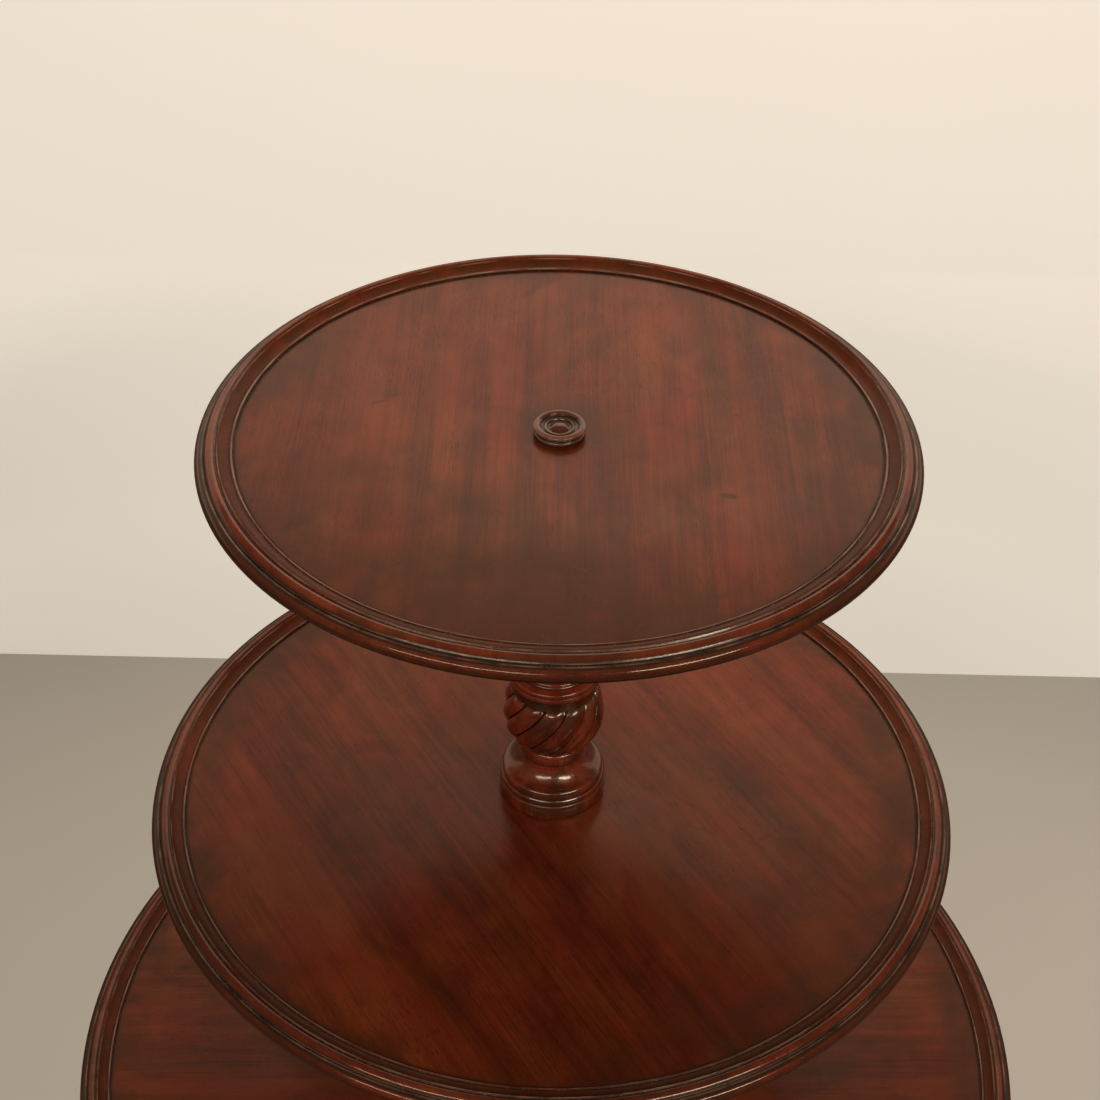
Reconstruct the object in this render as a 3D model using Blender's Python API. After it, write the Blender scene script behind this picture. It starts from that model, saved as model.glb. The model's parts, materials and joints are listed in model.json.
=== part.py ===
"""Three-tier mahogany dumbwaiter table, in metres with +Z up.

The origin is on the column's axis at floor level. Three round dished trays turn on the spigots of a
turned column, which stands on three cabriole legs with brass swivel castors under their pad feet.
"""

import math

import bmesh
import bpy
from mathutils import Matrix, Vector

# Driving dimensions.
TOP_TRAY_RADIUS = 0.2042
MIDDLE_TRAY_RADIUS = 0.2595
BOTTOM_TRAY_RADIUS = 0.3405
BOTTOM_TRAY_HEIGHT = 0.440
LOWER_SPACING = 0.260
UPPER_SPACING = 0.279
LEG_REACH = 0.270

# Clearances: between seated faces, round a turning pin, over a tray that turns, and round what stands
# on a tray, where the tray is turned a little lower than its field.
SEAT_GAP = 0.0003
RUNNING_GAP = 0.0003
TRAY_PLAY = 0.0004
SEAT_MARGIN = 0.0015
SEAT_SINK = 0.0002

# Tray board and its moulded rim: widths count inwards from the edge, heights up from the field.
BOARD_THICKNESS = 0.011
TORUS_RADIUS = 0.0045
TORUS_DROP = 0.0032
QUIRK_WIDTH = 0.0008
BEAD_WIDTH = 0.006
BEAD_EDGE_HEIGHT = 0.0022
BEAD_RISE = 0.0026
GROOVE_WIDTH = 0.0015
GROOVE_HEIGHT = 0.0036
COVE_WIDTH = 0.007
COVE_RISE = 0.0029
FILLET_WIDTH = 0.0016
FILLET_HEIGHT = 0.0018
UNDERCUT_WIDTH = 0.010

# Hub under each tray, and the washer that it turns on.
HUB_RADIUS = 0.058
HUB_THICKNESS = 0.009
HUB_EDGE = 0.004
WASHER_RADIUS = 0.026
WASHER_THICKNESS = 0.0015

# Turned column: one stage between each two tiers, and the base pillar.
SPIGOT_RADIUS = 0.012
SPIGOT_REACH = 0.026
SPIGOT_CHAMFER = 0.001
FOOT_RADIUS = 0.0343
FOOT_HEIGHT = 0.0445
VASE_RADIUS = 0.032
VASE_HEIGHT = 0.0505
COLLAR_HEIGHT = 0.018
NECK_RADIUS = 0.0172
CAP_RADIUS = 0.0295
CAP_HEIGHT = 0.024
PILLAR_FOOT_RADIUS = 0.037
PILLAR_VASE_RADIUS = 0.037
PILLAR_NECK_RADIUS = 0.0205
LOBE_DEPTH = 0.0026
LOBE_TWIST = math.radians(62.0)
LOBE_START = math.radians(-13.0)

# Leg block, its dovetailed legs and the iron brace below them.
BLOCK_RADIUS = 0.033
BLOCK_MARGIN = 0.007
LEG_TOP_HEIGHT = 0.204
LEG_DEPTH = 0.076
LEG_WIDTH = 0.035
ANKLE_WIDTH = 0.023
TONGUE_DEPTH = 0.014
TONGUE_NECK_WIDTH = 0.014
TONGUE_ROOT_WIDTH = 0.019
TONGUE_SHOULDER = 0.008
PAD_RADIUS = 0.028
PAD_THICKNESS = 0.020
BRACE_THICKNESS = 0.0025
BRACE_RADIUS = 0.024
BRACE_REACH = 0.070
BRACE_ARM_WIDTH = 0.018

# Castors.
WHEEL_RADIUS = 0.0125
WHEEL_WIDTH = 0.013
WHEEL_BEVEL = 0.0014
WHEEL_BOSS_RADIUS = 0.005
WHEEL_BOSS_STAND = 0.0008
CASTOR_TRAIL = 0.014
CASTOR_PLATE_RADIUS = 0.019
CASTOR_PLATE_THICKNESS = 0.002
PIVOT_RADIUS = 0.0035
PIVOT_HEAD_RADIUS = 0.0052
PIVOT_HEAD_HEIGHT = 0.0025
PIVOT_CLEARANCE = 0.0056
CROWN_RADIUS = 0.0115
CROWN_THICKNESS = 0.004
CHEEK_THICKNESS = 0.0024
CHEEK_PLAY = 0.0006
AXLE_RADIUS = 0.002
AXLE_BOSS_RADIUS = 0.0052
RIVET_RADIUS = 0.0036
RIVET_HEIGHT = 0.0012

# Finial button on the top tray.
BUTTON_RADIUS = 0.015
BUTTON_HEIGHT = 0.006
BUTTON_TENON_RADIUS = 0.004
BUTTON_TENON_LENGTH = 0.018

# Counts, and the distance within which points are one.
LEG_COUNT = 3
LOBE_COUNT = 12
COLUMN_STEPS = 24
TRAY_STEPS = {"top": 36, "middle": 44, "bottom": 52}
RING_STEPS = 20
WHEEL_STEPS = 14
PIN_STEPS = 10
PAD_STEPS = 16
SECTION_STEPS = 10
WELD_DISTANCE = 1e-6

# Turned outlines from the bottom up, as (radius share, height share) of the sizes named in their use.
FOOT_SHARES = (
    (0.985, 0.0),
    (1.0, 0.05),
    (1.0, 0.2),
    (0.976, 0.254),
    (0.991, 0.29),
    (0.985, 0.36),
    (0.95, 0.385),
    (0.93, 0.48),
    (0.83, 0.512),
    (0.7, 0.585),
    (0.595, 0.7),
    (0.57, 0.785),
    (0.627, 0.835),
    (0.627, 0.95),
    (0.575, 0.985),
)
VASE_SHARES = (
    (0.62, 0.0),
    (0.8, 0.07),
    (0.925, 0.2),
    (0.995, 0.38),
    (0.99, 0.56),
    (0.945, 0.7),
    (0.86, 0.82),
    (0.83, 1.0),
)
COLLAR_SHARES = (
    (0.89, 0.05),
    (0.905, 0.19),
    (0.885, 0.27),
    (0.905, 0.4),
    (0.86, 0.48),
    (0.735, 0.57),
    (0.705, 1.0),
)
CAP_SHARES = (
    (0.69, 0.06),
    (0.69, 0.22),
    (0.59, 0.3),
    (0.63, 0.52),
    (0.8, 0.78),
    (1.0, 0.88),
    (1.0, 1.0),
)
COVE_SAG_SHARE = 0.17
SHAFT_SWELL_SHARE = 0.58
LOBE_END_SHARE = 0.82
LOBE_FADE_SHARE = 0.1
LOBE_TWIST_SHARE = 1.1
LOBE_ROUNDNESS = 0.7

# Rim bead from its inner edge outwards, as shares of its width and of its rise over the outer edge.
BEAD_SHARES = ((0.0, 0.69), (0.3, 1.0), (0.68, 0.77), (1.0, 0.0))

# Finial button from its rim to its centre, as shares of its radius and height.
BUTTON_SHARES = (
    (0.94, 0.0),
    (0.97, 0.22),
    (0.93, 0.4),
    (0.88, 0.46),
    (0.96, 0.54),
    (1.0, 0.76),
    (0.92, 0.97),
    (0.78, 1.0),
    (0.68, 0.86),
    (0.62, 0.64),
    (0.42, 0.54),
    (0.3, 0.6),
    (0.16, 0.78),
)

# Legs, from the block out to the toe: upper edge and lower edge as shares of the reach and of their
# heights over the pad foot, and the width as a share between the leg's width and the ankle's.
LEG_STATION_SHARES = (
    ((0.05, 1.0), (0.05, 1.0), 0.0),
    ((0.18, 0.995), (0.17, 1.0), 0.0),
    ((0.28, 1.005), (0.262, 1.01), 0.03),
    ((0.385, 0.98), (0.335, 1.12), 0.1),
    ((0.48, 0.885), (0.405, 1.13), 0.25),
    ((0.562, 0.74), (0.485, 1.02), 0.42),
    ((0.635, 0.575), (0.565, 0.79), 0.6),
    ((0.708, 0.42), (0.645, 0.54), 0.76),
    ((0.787, 0.285), (0.735, 0.29), 0.9),
    ((0.872, 0.185), (0.83, 0.09), 1.0),
    ((0.955, 0.11), (0.92, -0.05), 1.0),
    ((1.03, 0.02), (0.975, -0.14), 0.9),
)
LEG_SQUARENESS = 2.7
PAD_SHARES = ((0.86, 0.0), (0.97, 0.12), (1.0, 0.36), (0.93, 0.62), (0.7, 0.84), (0.36, 0.97))

# Fork cheek, as shares of the castor's trail and of the height from the crown down to the axle.
CHEEK_FRONT_SHARES = ((0.36, 0.72), (-0.14, 0.4), (-0.46, 0.16), (-0.5, 0.0))
CHEEK_BACK_SHARES = ((0.57, 0.0), (0.8, 0.2), (1.17, 0.54))
CHEEK_BOSS_START = math.radians(55.0)
CHEEK_BOSS_SWEEP = math.radians(-195.0)
CHEEK_BOSS_STEPS = 6

# Places that follow from the sizes above.
MIDDLE_TRAY_HEIGHT = BOTTOM_TRAY_HEIGHT + LOWER_SPACING
TOP_TRAY_HEIGHT = MIDDLE_TRAY_HEIGHT + UPPER_SPACING
TRAY_SEAT = BOARD_THICKNESS + HUB_THICKNESS + WASHER_THICKNESS + 3.0 * SEAT_GAP
BLOCK_BOTTOM = LEG_TOP_HEIGHT - LEG_DEPTH
AXLE_HEIGHT = WHEEL_RADIUS * math.cos(math.pi / WHEEL_STEPS)
CROWN_BOTTOM = AXLE_HEIGHT + WHEEL_RADIUS + PIVOT_CLEARANCE + PIVOT_HEAD_HEIGHT + SEAT_GAP
CROWN_TOP = CROWN_BOTTOM + CROWN_THICKNESS
PLATE_BOTTOM = CROWN_TOP + SEAT_GAP
PAD_BOTTOM = PLATE_BOTTOM + CASTOR_PLATE_THICKNESS + SEAT_GAP
PAD_LEVEL = PAD_BOTTOM + PAD_THICKNESS
CHEEK_INNER = WHEEL_WIDTH / 2.0 + CHEEK_PLAY


def clear_scene():
    for obj in list(bpy.data.objects):
        bpy.data.objects.remove(obj, do_unlink=True)


def finish(name, colour, roughness, metallic=0.0):
    """A Principled material of one colour."""
    made = bpy.data.materials.new(name)
    made.use_nodes = True
    made.diffuse_color = (*colour, 1.0)
    shader = made.node_tree.nodes["Principled BSDF"]
    shader.inputs["Base Color"].default_value = (*colour, 1.0)
    shader.inputs["Roughness"].default_value = roughness
    shader.inputs["Metallic"].default_value = metallic
    return made


def tray_finish(name):
    return finish(f"{name}_polish", (0.126, 0.042, 0.024), 0.2)


def turned_finish(name):
    return finish(f"{name}_polish", (0.105, 0.032, 0.018), 0.22)


def hidden_wood_finish(name):
    return finish(f"{name}_stain", (0.09, 0.038, 0.022), 0.55)


def leg_finish(name):
    return finish(f"{name}_polish", (0.11, 0.034, 0.019), 0.25)


def brass_finish(name):
    return finish(f"{name}_brass", (0.46, 0.3, 0.11), 0.35, 1.0)


def iron_finish(name):
    return finish(f"{name}_iron", (0.06, 0.055, 0.05), 0.6, 1.0)


def smooth(mesh, sharp_angle=math.radians(32.0)):
    mesh.shade_smooth()
    mesh.set_sharp_from_angle(angle=sharp_angle)


def place(name, mesh, material, location=(0.0, 0.0, 0.0), turn=0.0, parent=None):
    """An object of this mesh, with its own material, at its place under its parent."""
    obj = bpy.data.objects.new(name, mesh)
    bpy.context.collection.objects.link(obj)
    if not mesh.materials:
        mesh.materials.append(material)
    obj.material_slots[0].link = "OBJECT"
    obj.material_slots[0].material = material
    obj.location = location
    obj.rotation_euler = (0.0, 0.0, turn)
    obj.parent = parent
    return obj


def guide(name, location=(0.0, 0.0, 0.0), turn=0.0, parent=None):
    """An empty that carries the pieces of one joint or one leg."""
    empty = bpy.data.objects.new(name, None)
    bpy.context.collection.objects.link(empty)
    empty.location = location
    empty.rotation_euler = (0.0, 0.0, turn)
    empty.parent = parent
    return empty


def bore_radius(pin_radius, steps, gap=RUNNING_GAP):
    """Radius of a bore whose flats clear the pin by the gap."""
    return (pin_radius + gap) / math.cos(math.pi / steps)


def mesh_of(bm, name):
    bmesh.ops.recalc_face_normals(bm, faces=bm.faces)
    mesh = bpy.data.meshes.new(name)
    bm.to_mesh(mesh)
    bm.free()
    smooth(mesh)
    return mesh


def spun(outline, steps):
    """The outline turned once about Z. It is closed unless it starts and ends on the axis."""
    bm = bmesh.new()
    points = [bm.verts.new((radius, 0.0, height)) for radius, height in outline]
    edges = [bm.edges.new(pair) for pair in zip(points, points[1:])]
    if outline[0][0] > 0.0:
        edges.append(bm.edges.new((points[-1], points[0])))
    bmesh.ops.spin(
        bm,
        geom=points + edges,
        axis=(0.0, 0.0, 1.0),
        cent=(0.0, 0.0, 0.0),
        dvec=(0.0, 0.0, 0.0),
        angle=math.tau,
        steps=steps,
    )
    bmesh.ops.remove_doubles(bm, verts=bm.verts, dist=WELD_DISTANCE)
    return bm


def turned(name, outline, steps):
    return mesh_of(spun(outline, steps), name)


def prism(name, outline, thickness, turn=None):
    """The flat outline in XY raised by its thickness, and turned by a matrix where one is given."""
    bm = bmesh.new()
    face = bm.faces.new([bm.verts.new((x, y, 0.0)) for x, y in outline])
    raised = bmesh.ops.extrude_face_region(bm, geom=[face])["geom"]
    tops = [element for element in raised if isinstance(element, bmesh.types.BMVert)]
    bmesh.ops.translate(bm, verts=tops, vec=(0.0, 0.0, thickness))
    if turn is not None:
        bmesh.ops.transform(bm, matrix=turn, verts=bm.verts)
    return mesh_of(bm, name)


def combined(name, base, others):
    """The base mesh with each other mesh joined to it or cut from it, by an exact Boolean."""
    body = bpy.data.objects.new(name, base)
    bpy.context.collection.objects.link(body)
    helpers = [body]
    for operation, mesh in others:
        helper = bpy.data.objects.new(f"{name}_tool", mesh)
        helper.display_type = "WIRE"
        helper.hide_render = True
        bpy.context.collection.objects.link(helper)
        helpers.append(helper)
        modifier = body.modifiers.new(operation.lower(), "BOOLEAN")
        modifier.operation = operation
        modifier.object = helper
    evaluated = body.evaluated_get(bpy.context.evaluated_depsgraph_get())
    made = bpy.data.meshes.new_from_object(evaluated)
    made.name = name
    for helper in helpers:
        bpy.data.objects.remove(helper, do_unlink=True)
    bm = bmesh.new()
    bm.from_mesh(made)
    bmesh.ops.remove_doubles(bm, verts=bm.verts, dist=WELD_DISTANCE)
    bm.to_mesh(made)
    bm.free()
    smooth(made)
    return made


def arc(centre, radius, start, sweep, steps):
    """Points along an arc, its ends among them."""
    angles = [start + sweep * step / steps for step in range(steps + 1)]
    return [(centre[0] + radius * math.cos(a), centre[1] + radius * math.sin(a)) for a in angles]


def shaped(shares, radius, base, height):
    """The points of a turned section at its real radius and height."""
    return [(radius * across, base + height * up) for across, up in shares]


def rim_outline(radius):
    """The moulded rim from the field's edge out over the bead and the torus to the underside."""
    torus_centre = (radius - TORUS_RADIUS, -TORUS_DROP)
    bead_inner = radius - TORUS_RADIUS - QUIRK_WIDTH - BEAD_WIDTH
    cove_outer = bead_inner - GROOVE_WIDTH
    cove_inner = cove_outer - COVE_WIDTH
    bead = [(bead_inner + BEAD_WIDTH * out, BEAD_EDGE_HEIGHT + BEAD_RISE * up) for out, up in BEAD_SHARES]
    return [
        (cove_inner - FILLET_WIDTH, 0.0),
        (cove_inner - FILLET_WIDTH / 2.0, FILLET_HEIGHT),
        (cove_inner, FILLET_HEIGHT - COVE_RISE * COVE_SAG_SHARE),
        (cove_outer - COVE_WIDTH / 2.0, FILLET_HEIGHT + COVE_RISE * COVE_SAG_SHARE),
        (cove_outer, FILLET_HEIGHT + COVE_RISE),
        (bead_inner - GROOVE_WIDTH / 2.0, GROOVE_HEIGHT),
        *bead,
        (bead[-1][0], TORUS_RADIUS - TORUS_DROP),
        *arc(torus_centre, TORUS_RADIUS, math.radians(90.0), -math.pi, 4),
        (radius - TORUS_RADIUS - UNDERCUT_WIDTH, -BOARD_THICKNESS),
    ]


def tray_mesh(name, radius, standing_radius, steps):
    """A dished tray with its field at height zero and a bore for the spigot.

    Its middle is turned a little lower, to just outside the foot or the button that stands there.
    """
    bore = bore_radius(SPIGOT_RADIUS, steps)
    seat = standing_radius + SEAT_MARGIN
    outline = [
        (bore, -BOARD_THICKNESS),
        (bore, -SEAT_SINK),
        (seat - SEAT_SINK, -SEAT_SINK),
        (seat, 0.0),
        *rim_outline(radius),
    ]
    return turned(name, outline, steps)


def hub_mesh():
    """The turned block under a tray, with its lower edge rounded."""
    bore = bore_radius(SPIGOT_RADIUS, RING_STEPS)
    top = -BOARD_THICKNESS - SEAT_GAP
    bottom = top - HUB_THICKNESS
    edge = arc((HUB_RADIUS - HUB_EDGE, bottom + HUB_EDGE), HUB_EDGE, 0.0, -math.pi / 2.0, 2)
    return turned("hub", [(bore, bottom), (bore, top), (HUB_RADIUS, top), *edge], RING_STEPS)


def washer_mesh():
    bore = bore_radius(SPIGOT_RADIUS, RING_STEPS)
    top = -BOARD_THICKNESS - HUB_THICKNESS - 2.0 * SEAT_GAP
    bottom = top - WASHER_THICKNESS
    outline = [(bore, bottom), (bore, top), (WASHER_RADIUS, top), (WASHER_RADIUS, bottom)]
    return turned("washer", outline, RING_STEPS)


def tier(name, radius, standing_radius, height):
    """One revolving tray with its hub, and the washer below it that stays with the column."""
    pivot = guide(f"{name}_tray_pivot", (0.0, 0.0, height))
    tray = tray_mesh(f"{name}_tray", radius, standing_radius, TRAY_STEPS[name])
    place(f"{name}_tray", tray, tray_finish(f"{name}_tray"), parent=pivot)
    place(f"{name}_tray_hub", hub_mesh(), hidden_wood_finish(f"{name}_hub"), parent=pivot)
    washer = place(f"{name}_bearing_washer", washer_mesh(), brass_finish(f"{name}_washer"))
    washer.location = (0.0, 0.0, height)


def stage_outline(base, shoulder, foot_radius, vase_radius, neck_radius):
    """The turned outline of one column stage, from its foot up to its shoulder."""
    vase_base = base + FOOT_HEIGHT
    collar_base = vase_base + VASE_HEIGHT
    shaft_base = collar_base + COLLAR_HEIGHT
    cap_base = shoulder - CAP_HEIGHT
    shaft_radius = vase_radius * COLLAR_SHARES[-1][0]
    swell_radius = neck_radius + (shaft_radius - neck_radius) * SHAFT_SWELL_SHARE
    return [
        *shaped(FOOT_SHARES, foot_radius, base, FOOT_HEIGHT),
        *shaped(VASE_SHARES, vase_radius, vase_base, VASE_HEIGHT),
        *shaped(COLLAR_SHARES, vase_radius, collar_base, COLLAR_HEIGHT),
        (swell_radius, (shaft_base + cap_base) / 2.0),
        (neck_radius, cap_base),
        *shaped(CAP_SHARES, CAP_RADIUS, cap_base, CAP_HEIGHT),
    ]


def spigot_outline(shoulder, top):
    """The plain spigot that rises from a shoulder, with its end chamfered."""
    chamfered = SPIGOT_RADIUS - SPIGOT_CHAMFER
    return [(SPIGOT_RADIUS, shoulder), (SPIGOT_RADIUS, top - SPIGOT_CHAMFER), (chamfered, top)]


def lobe_height(across):
    """How far the lobes stand over their valleys, as a share, where each lobe counts as one across."""
    return abs(math.sin(math.pi * across)) ** LOBE_ROUNDNESS


def carve_vase(bm, base):
    """Cuts spiral lobes into the vase and turns what is above it by their whole twist."""
    lobes_height = VASE_HEIGHT * LOBE_END_SHARE
    top = base + lobes_height
    edges = []
    for edge in bm.edges:
        low, high = sorted(vert.co.z for vert in edge.verts)
        if high - low < WELD_DISTANCE and base + WELD_DISTANCE < low < top - WELD_DISTANCE:
            edges.append(edge)
    bmesh.ops.subdivide_edges(bm, edges=edges, cuts=1, use_grid_fill=True)
    rows = {}
    for vert in bm.verts:
        if base + WELD_DISTANCE < vert.co.z < top - WELD_DISTANCE:
            row = rows.setdefault(round(vert.co.z / WELD_DISTANCE), [])
            row.append(vert)
    for row in rows.values():
        crown = max(vert.co.xy.length for vert in row)
        along = (row[0].co.z - base) / lobes_height
        fade = min(1.0, along / LOBE_FADE_SHARE, (1.0 - along) / LOBE_FADE_SHARE)
        for vert in row:
            across = math.atan2(vert.co.y, vert.co.x) * LOBE_COUNT / math.tau
            depth = LOBE_DEPTH * fade * (1.0 - lobe_height(across))
            vert.co.xy = vert.co.xy.normalized() * (crown - depth)
    for vert in bm.verts:
        along = min(max((vert.co.z - base) / lobes_height, 0.0), 1.0)
        turn = LOBE_START + LOBE_TWIST * (1.0 - (1.0 - along) ** LOBE_TWIST_SHARE)
        vert.co = Matrix.Rotation(turn, 3, "Z") @ vert.co


def column_mesh(name, spacing, spigot_top, spigot_hole):
    """A column stage: its foot is socketed over the spigot below, and its head carries the next tray.

    The hole in the head's spigot is as long as the button's tenon, or left out where none goes in.
    """
    shoulder = spacing - TRAY_SEAT
    foot = TRAY_PLAY
    socket = bore_radius(SPIGOT_RADIUS, COLUMN_STEPS)
    outline = [
        (0.0, SPIGOT_REACH + SEAT_GAP),
        (socket, SPIGOT_REACH + SEAT_GAP),
        (socket, foot),
        *stage_outline(foot, shoulder, FOOT_RADIUS, VASE_RADIUS, NECK_RADIUS),
        *spigot_outline(shoulder, spigot_top),
    ]
    if spigot_hole:
        hole = bore_radius(BUTTON_TENON_RADIUS, COLUMN_STEPS)
        floor = spigot_top - BUTTON_TENON_LENGTH
        outline += [(hole, spigot_top), (hole, floor), (0.0, floor)]
    else:
        outline.append((0.0, spigot_top))
    bm = spun(outline, COLUMN_STEPS)
    carve_vase(bm, foot + FOOT_HEIGHT)
    return mesh_of(bm, name)


def upper_column():
    top = UPPER_SPACING + TRAY_PLAY - SEAT_GAP
    mesh = column_mesh("upper_column", UPPER_SPACING, top, True)
    place("upper_column", mesh, turned_finish("upper_column"), (0.0, 0.0, MIDDLE_TRAY_HEIGHT))


def lower_column():
    mesh = column_mesh("lower_column", LOWER_SPACING, LOWER_SPACING + SPIGOT_REACH, False)
    place("lower_column", mesh, turned_finish("lower_column"), (0.0, 0.0, BOTTOM_TRAY_HEIGHT))


def finial_button():
    """The turned button over the top tray's bore, tenoned into the column's last spigot."""
    outline = [
        (0.0, TRAY_PLAY - BUTTON_TENON_LENGTH),
        (BUTTON_TENON_RADIUS, TRAY_PLAY - BUTTON_TENON_LENGTH),
        (BUTTON_TENON_RADIUS, TRAY_PLAY),
        *shaped(BUTTON_SHARES, BUTTON_RADIUS, TRAY_PLAY, BUTTON_HEIGHT),
        (0.0, TRAY_PLAY + BUTTON_HEIGHT * BUTTON_SHARES[-1][1]),
    ]
    mesh = turned("finial_button", outline, RING_STEPS)
    place("finial_button", mesh, turned_finish("finial_button"), (0.0, 0.0, TOP_TRAY_HEIGHT))


def tongue_mesh(name, margin):
    """The dovetail between a leg and the block, grown by a margin where it is the slot's cutter."""
    root = BLOCK_RADIUS - TONGUE_DEPTH - margin
    outer = BLOCK_RADIUS + TONGUE_DEPTH
    root_half = TONGUE_ROOT_WIDTH / 2.0 + margin
    neck_half = TONGUE_NECK_WIDTH / 2.0 + margin
    outline = [
        (root, -root_half),
        (BLOCK_RADIUS, -neck_half),
        (outer, -neck_half),
        (outer, neck_half),
        (BLOCK_RADIUS, neck_half),
        (root, root_half),
    ]
    bottom = BLOCK_BOTTOM - (TONGUE_SHOULDER if margin else 0.0)
    height = LEG_TOP_HEIGHT - TONGUE_SHOULDER + margin - bottom
    return prism(name, outline, height, Matrix.Translation((0.0, 0.0, bottom)))


def block_cutter():
    """A cylinder round the leg block, that leaves the legs' shoulders coped to it."""
    radius = bore_radius(BLOCK_RADIUS, COLUMN_STEPS, SEAT_GAP)
    top = LEG_TOP_HEIGHT + LEG_DEPTH
    outline = [(0.0, top), (radius, top), (radius, 0.0), (0.0, 0.0)]
    return turned("block_cutter", outline, COLUMN_STEPS * 2)


def base_pillar():
    """The pillar under the bottom tray: a block for the legs, a carved stage and a spigot."""
    shoulder = BOTTOM_TRAY_HEIGHT - TRAY_SEAT
    block_top = LEG_TOP_HEIGHT + BLOCK_MARGIN
    bm = spun(
        [
            (0.0, BLOCK_BOTTOM),
            (BLOCK_RADIUS, BLOCK_BOTTOM),
            (BLOCK_RADIUS, block_top),
            *stage_outline(
                block_top, shoulder, PILLAR_FOOT_RADIUS, PILLAR_VASE_RADIUS, PILLAR_NECK_RADIUS
            ),
            *spigot_outline(shoulder, BOTTOM_TRAY_HEIGHT + SPIGOT_REACH),
            (0.0, BOTTOM_TRAY_HEIGHT + SPIGOT_REACH),
        ],
        COLUMN_STEPS,
    )
    carve_vase(bm, block_top + FOOT_HEIGHT)
    slots = []
    for index in range(LEG_COUNT):
        slot = tongue_mesh(f"leg_slot_{index + 1}", SEAT_GAP)
        slot.transform(Matrix.Rotation(leg_angle(index), 4, "Z"))
        slots.append(("DIFFERENCE", slot))
    mesh = combined("base_pillar", mesh_of(bm, "pillar_turning"), slots)
    place("base_pillar", mesh, turned_finish("base_pillar"))


def leg_angle(index):
    return -math.pi / 2.0 + math.tau * index / LEG_COUNT


def leg_section(upper, lower, half_width):
    """A ring round the leg between a point on its upper edge and one on its lower edge."""
    middle = (upper + lower) / 2.0
    half_depth = (upper - lower) / 2.0
    side = Vector((0.0, half_width, 0.0))
    ring = []
    for step in range(SECTION_STEPS):
        angle = math.tau * (step + 0.5) / SECTION_STEPS
        up, across = math.cos(angle), math.sin(angle)
        reach = (abs(up) ** LEG_SQUARENESS + abs(across) ** LEG_SQUARENESS) ** (-1.0 / LEG_SQUARENESS)
        ring.append(middle + half_depth * up * reach + side * across * reach)
    return ring


def leg_loft():
    """The leg's cabriole body, lofted through its stations from inside the block to the toe."""
    bm = bmesh.new()
    rings = []
    for upper, lower, slimming in LEG_STATION_SHARES:
        upper_height = PAD_LEVEL + (LEG_TOP_HEIGHT - PAD_LEVEL) * upper[1]
        lower_height = PAD_LEVEL + (BLOCK_BOTTOM - PAD_LEVEL) * lower[1]
        width = LEG_WIDTH + (ANKLE_WIDTH - LEG_WIDTH) * slimming
        section = leg_section(
            Vector((LEG_REACH * upper[0], 0.0, upper_height)),
            Vector((LEG_REACH * lower[0], 0.0, lower_height)),
            width / 2.0,
        )
        rings.append([bm.verts.new(point) for point in section])
    for inner, outer in zip(rings, rings[1:]):
        for step in range(SECTION_STEPS):
            after = (step + 1) % SECTION_STEPS
            bm.faces.new((inner[step], inner[after], outer[after], outer[step]))
    bm.faces.new(rings[0])
    bm.faces.new(rings[-1])
    return mesh_of(bm, "leg_loft")


def pad_mesh():
    """The round pad foot under the toe."""
    outline = [(0.0, PAD_BOTTOM), *shaped(PAD_SHARES, PAD_RADIUS, PAD_BOTTOM, PAD_THICKNESS)]
    outline.append((0.0, PAD_BOTTOM + PAD_THICKNESS))
    mesh = turned("pad", outline, PAD_STEPS)
    mesh.transform(Matrix.Translation((LEG_REACH, 0.0, 0.0)))
    return mesh


def leg_mesh():
    """A cabriole leg along +X, coped to the block, with its dovetail tongue and pad foot."""
    steps = (
        ("DIFFERENCE", block_cutter()),
        ("UNION", tongue_mesh("tongue", 0.0)),
        ("UNION", pad_mesh()),
    )
    return combined("leg", leg_loft(), steps)


def leg_brace():
    """The flat iron plate under the block, with an arm under each leg."""
    half = BRACE_ARM_WIDTH / 2.0
    root = math.asin(half / BRACE_RADIUS)
    outline = []
    for index in range(LEG_COUNT):
        turn = Matrix.Rotation(leg_angle(index), 2)
        arm = arc((BRACE_REACH - half, 0.0), half, -math.pi / 2.0, math.pi, 4)
        between = math.tau / LEG_COUNT - 2.0 * root
        hub = arc((0.0, 0.0), BRACE_RADIUS, root, between, 4)
        outline += [turn @ Vector(point) for point in (*arm, *hub)]
    bottom = Matrix.Translation((0.0, 0.0, BLOCK_BOTTOM - SEAT_GAP - BRACE_THICKNESS))
    mesh = prism("leg_brace", outline, BRACE_THICKNESS, bottom)
    place("leg_brace", mesh, iron_finish("leg_brace"))


def pivot_mesh():
    """The castor's plate with its riveted pivot, which the fork hangs and swivels on."""
    head_top = CROWN_BOTTOM - SEAT_GAP
    head_bottom = head_top - PIVOT_HEAD_HEIGHT
    outline = [
        (0.0, PAD_BOTTOM - SEAT_GAP),
        (CASTOR_PLATE_RADIUS, PAD_BOTTOM - SEAT_GAP),
        (CASTOR_PLATE_RADIUS, PLATE_BOTTOM),
        (PIVOT_RADIUS, PLATE_BOTTOM),
        (PIVOT_RADIUS, head_top),
        (PIVOT_HEAD_RADIUS, head_top),
        (PIVOT_RADIUS, head_bottom),
        (0.0, head_bottom),
    ]
    return turned("castor_pivot", outline, WHEEL_STEPS)


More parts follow.
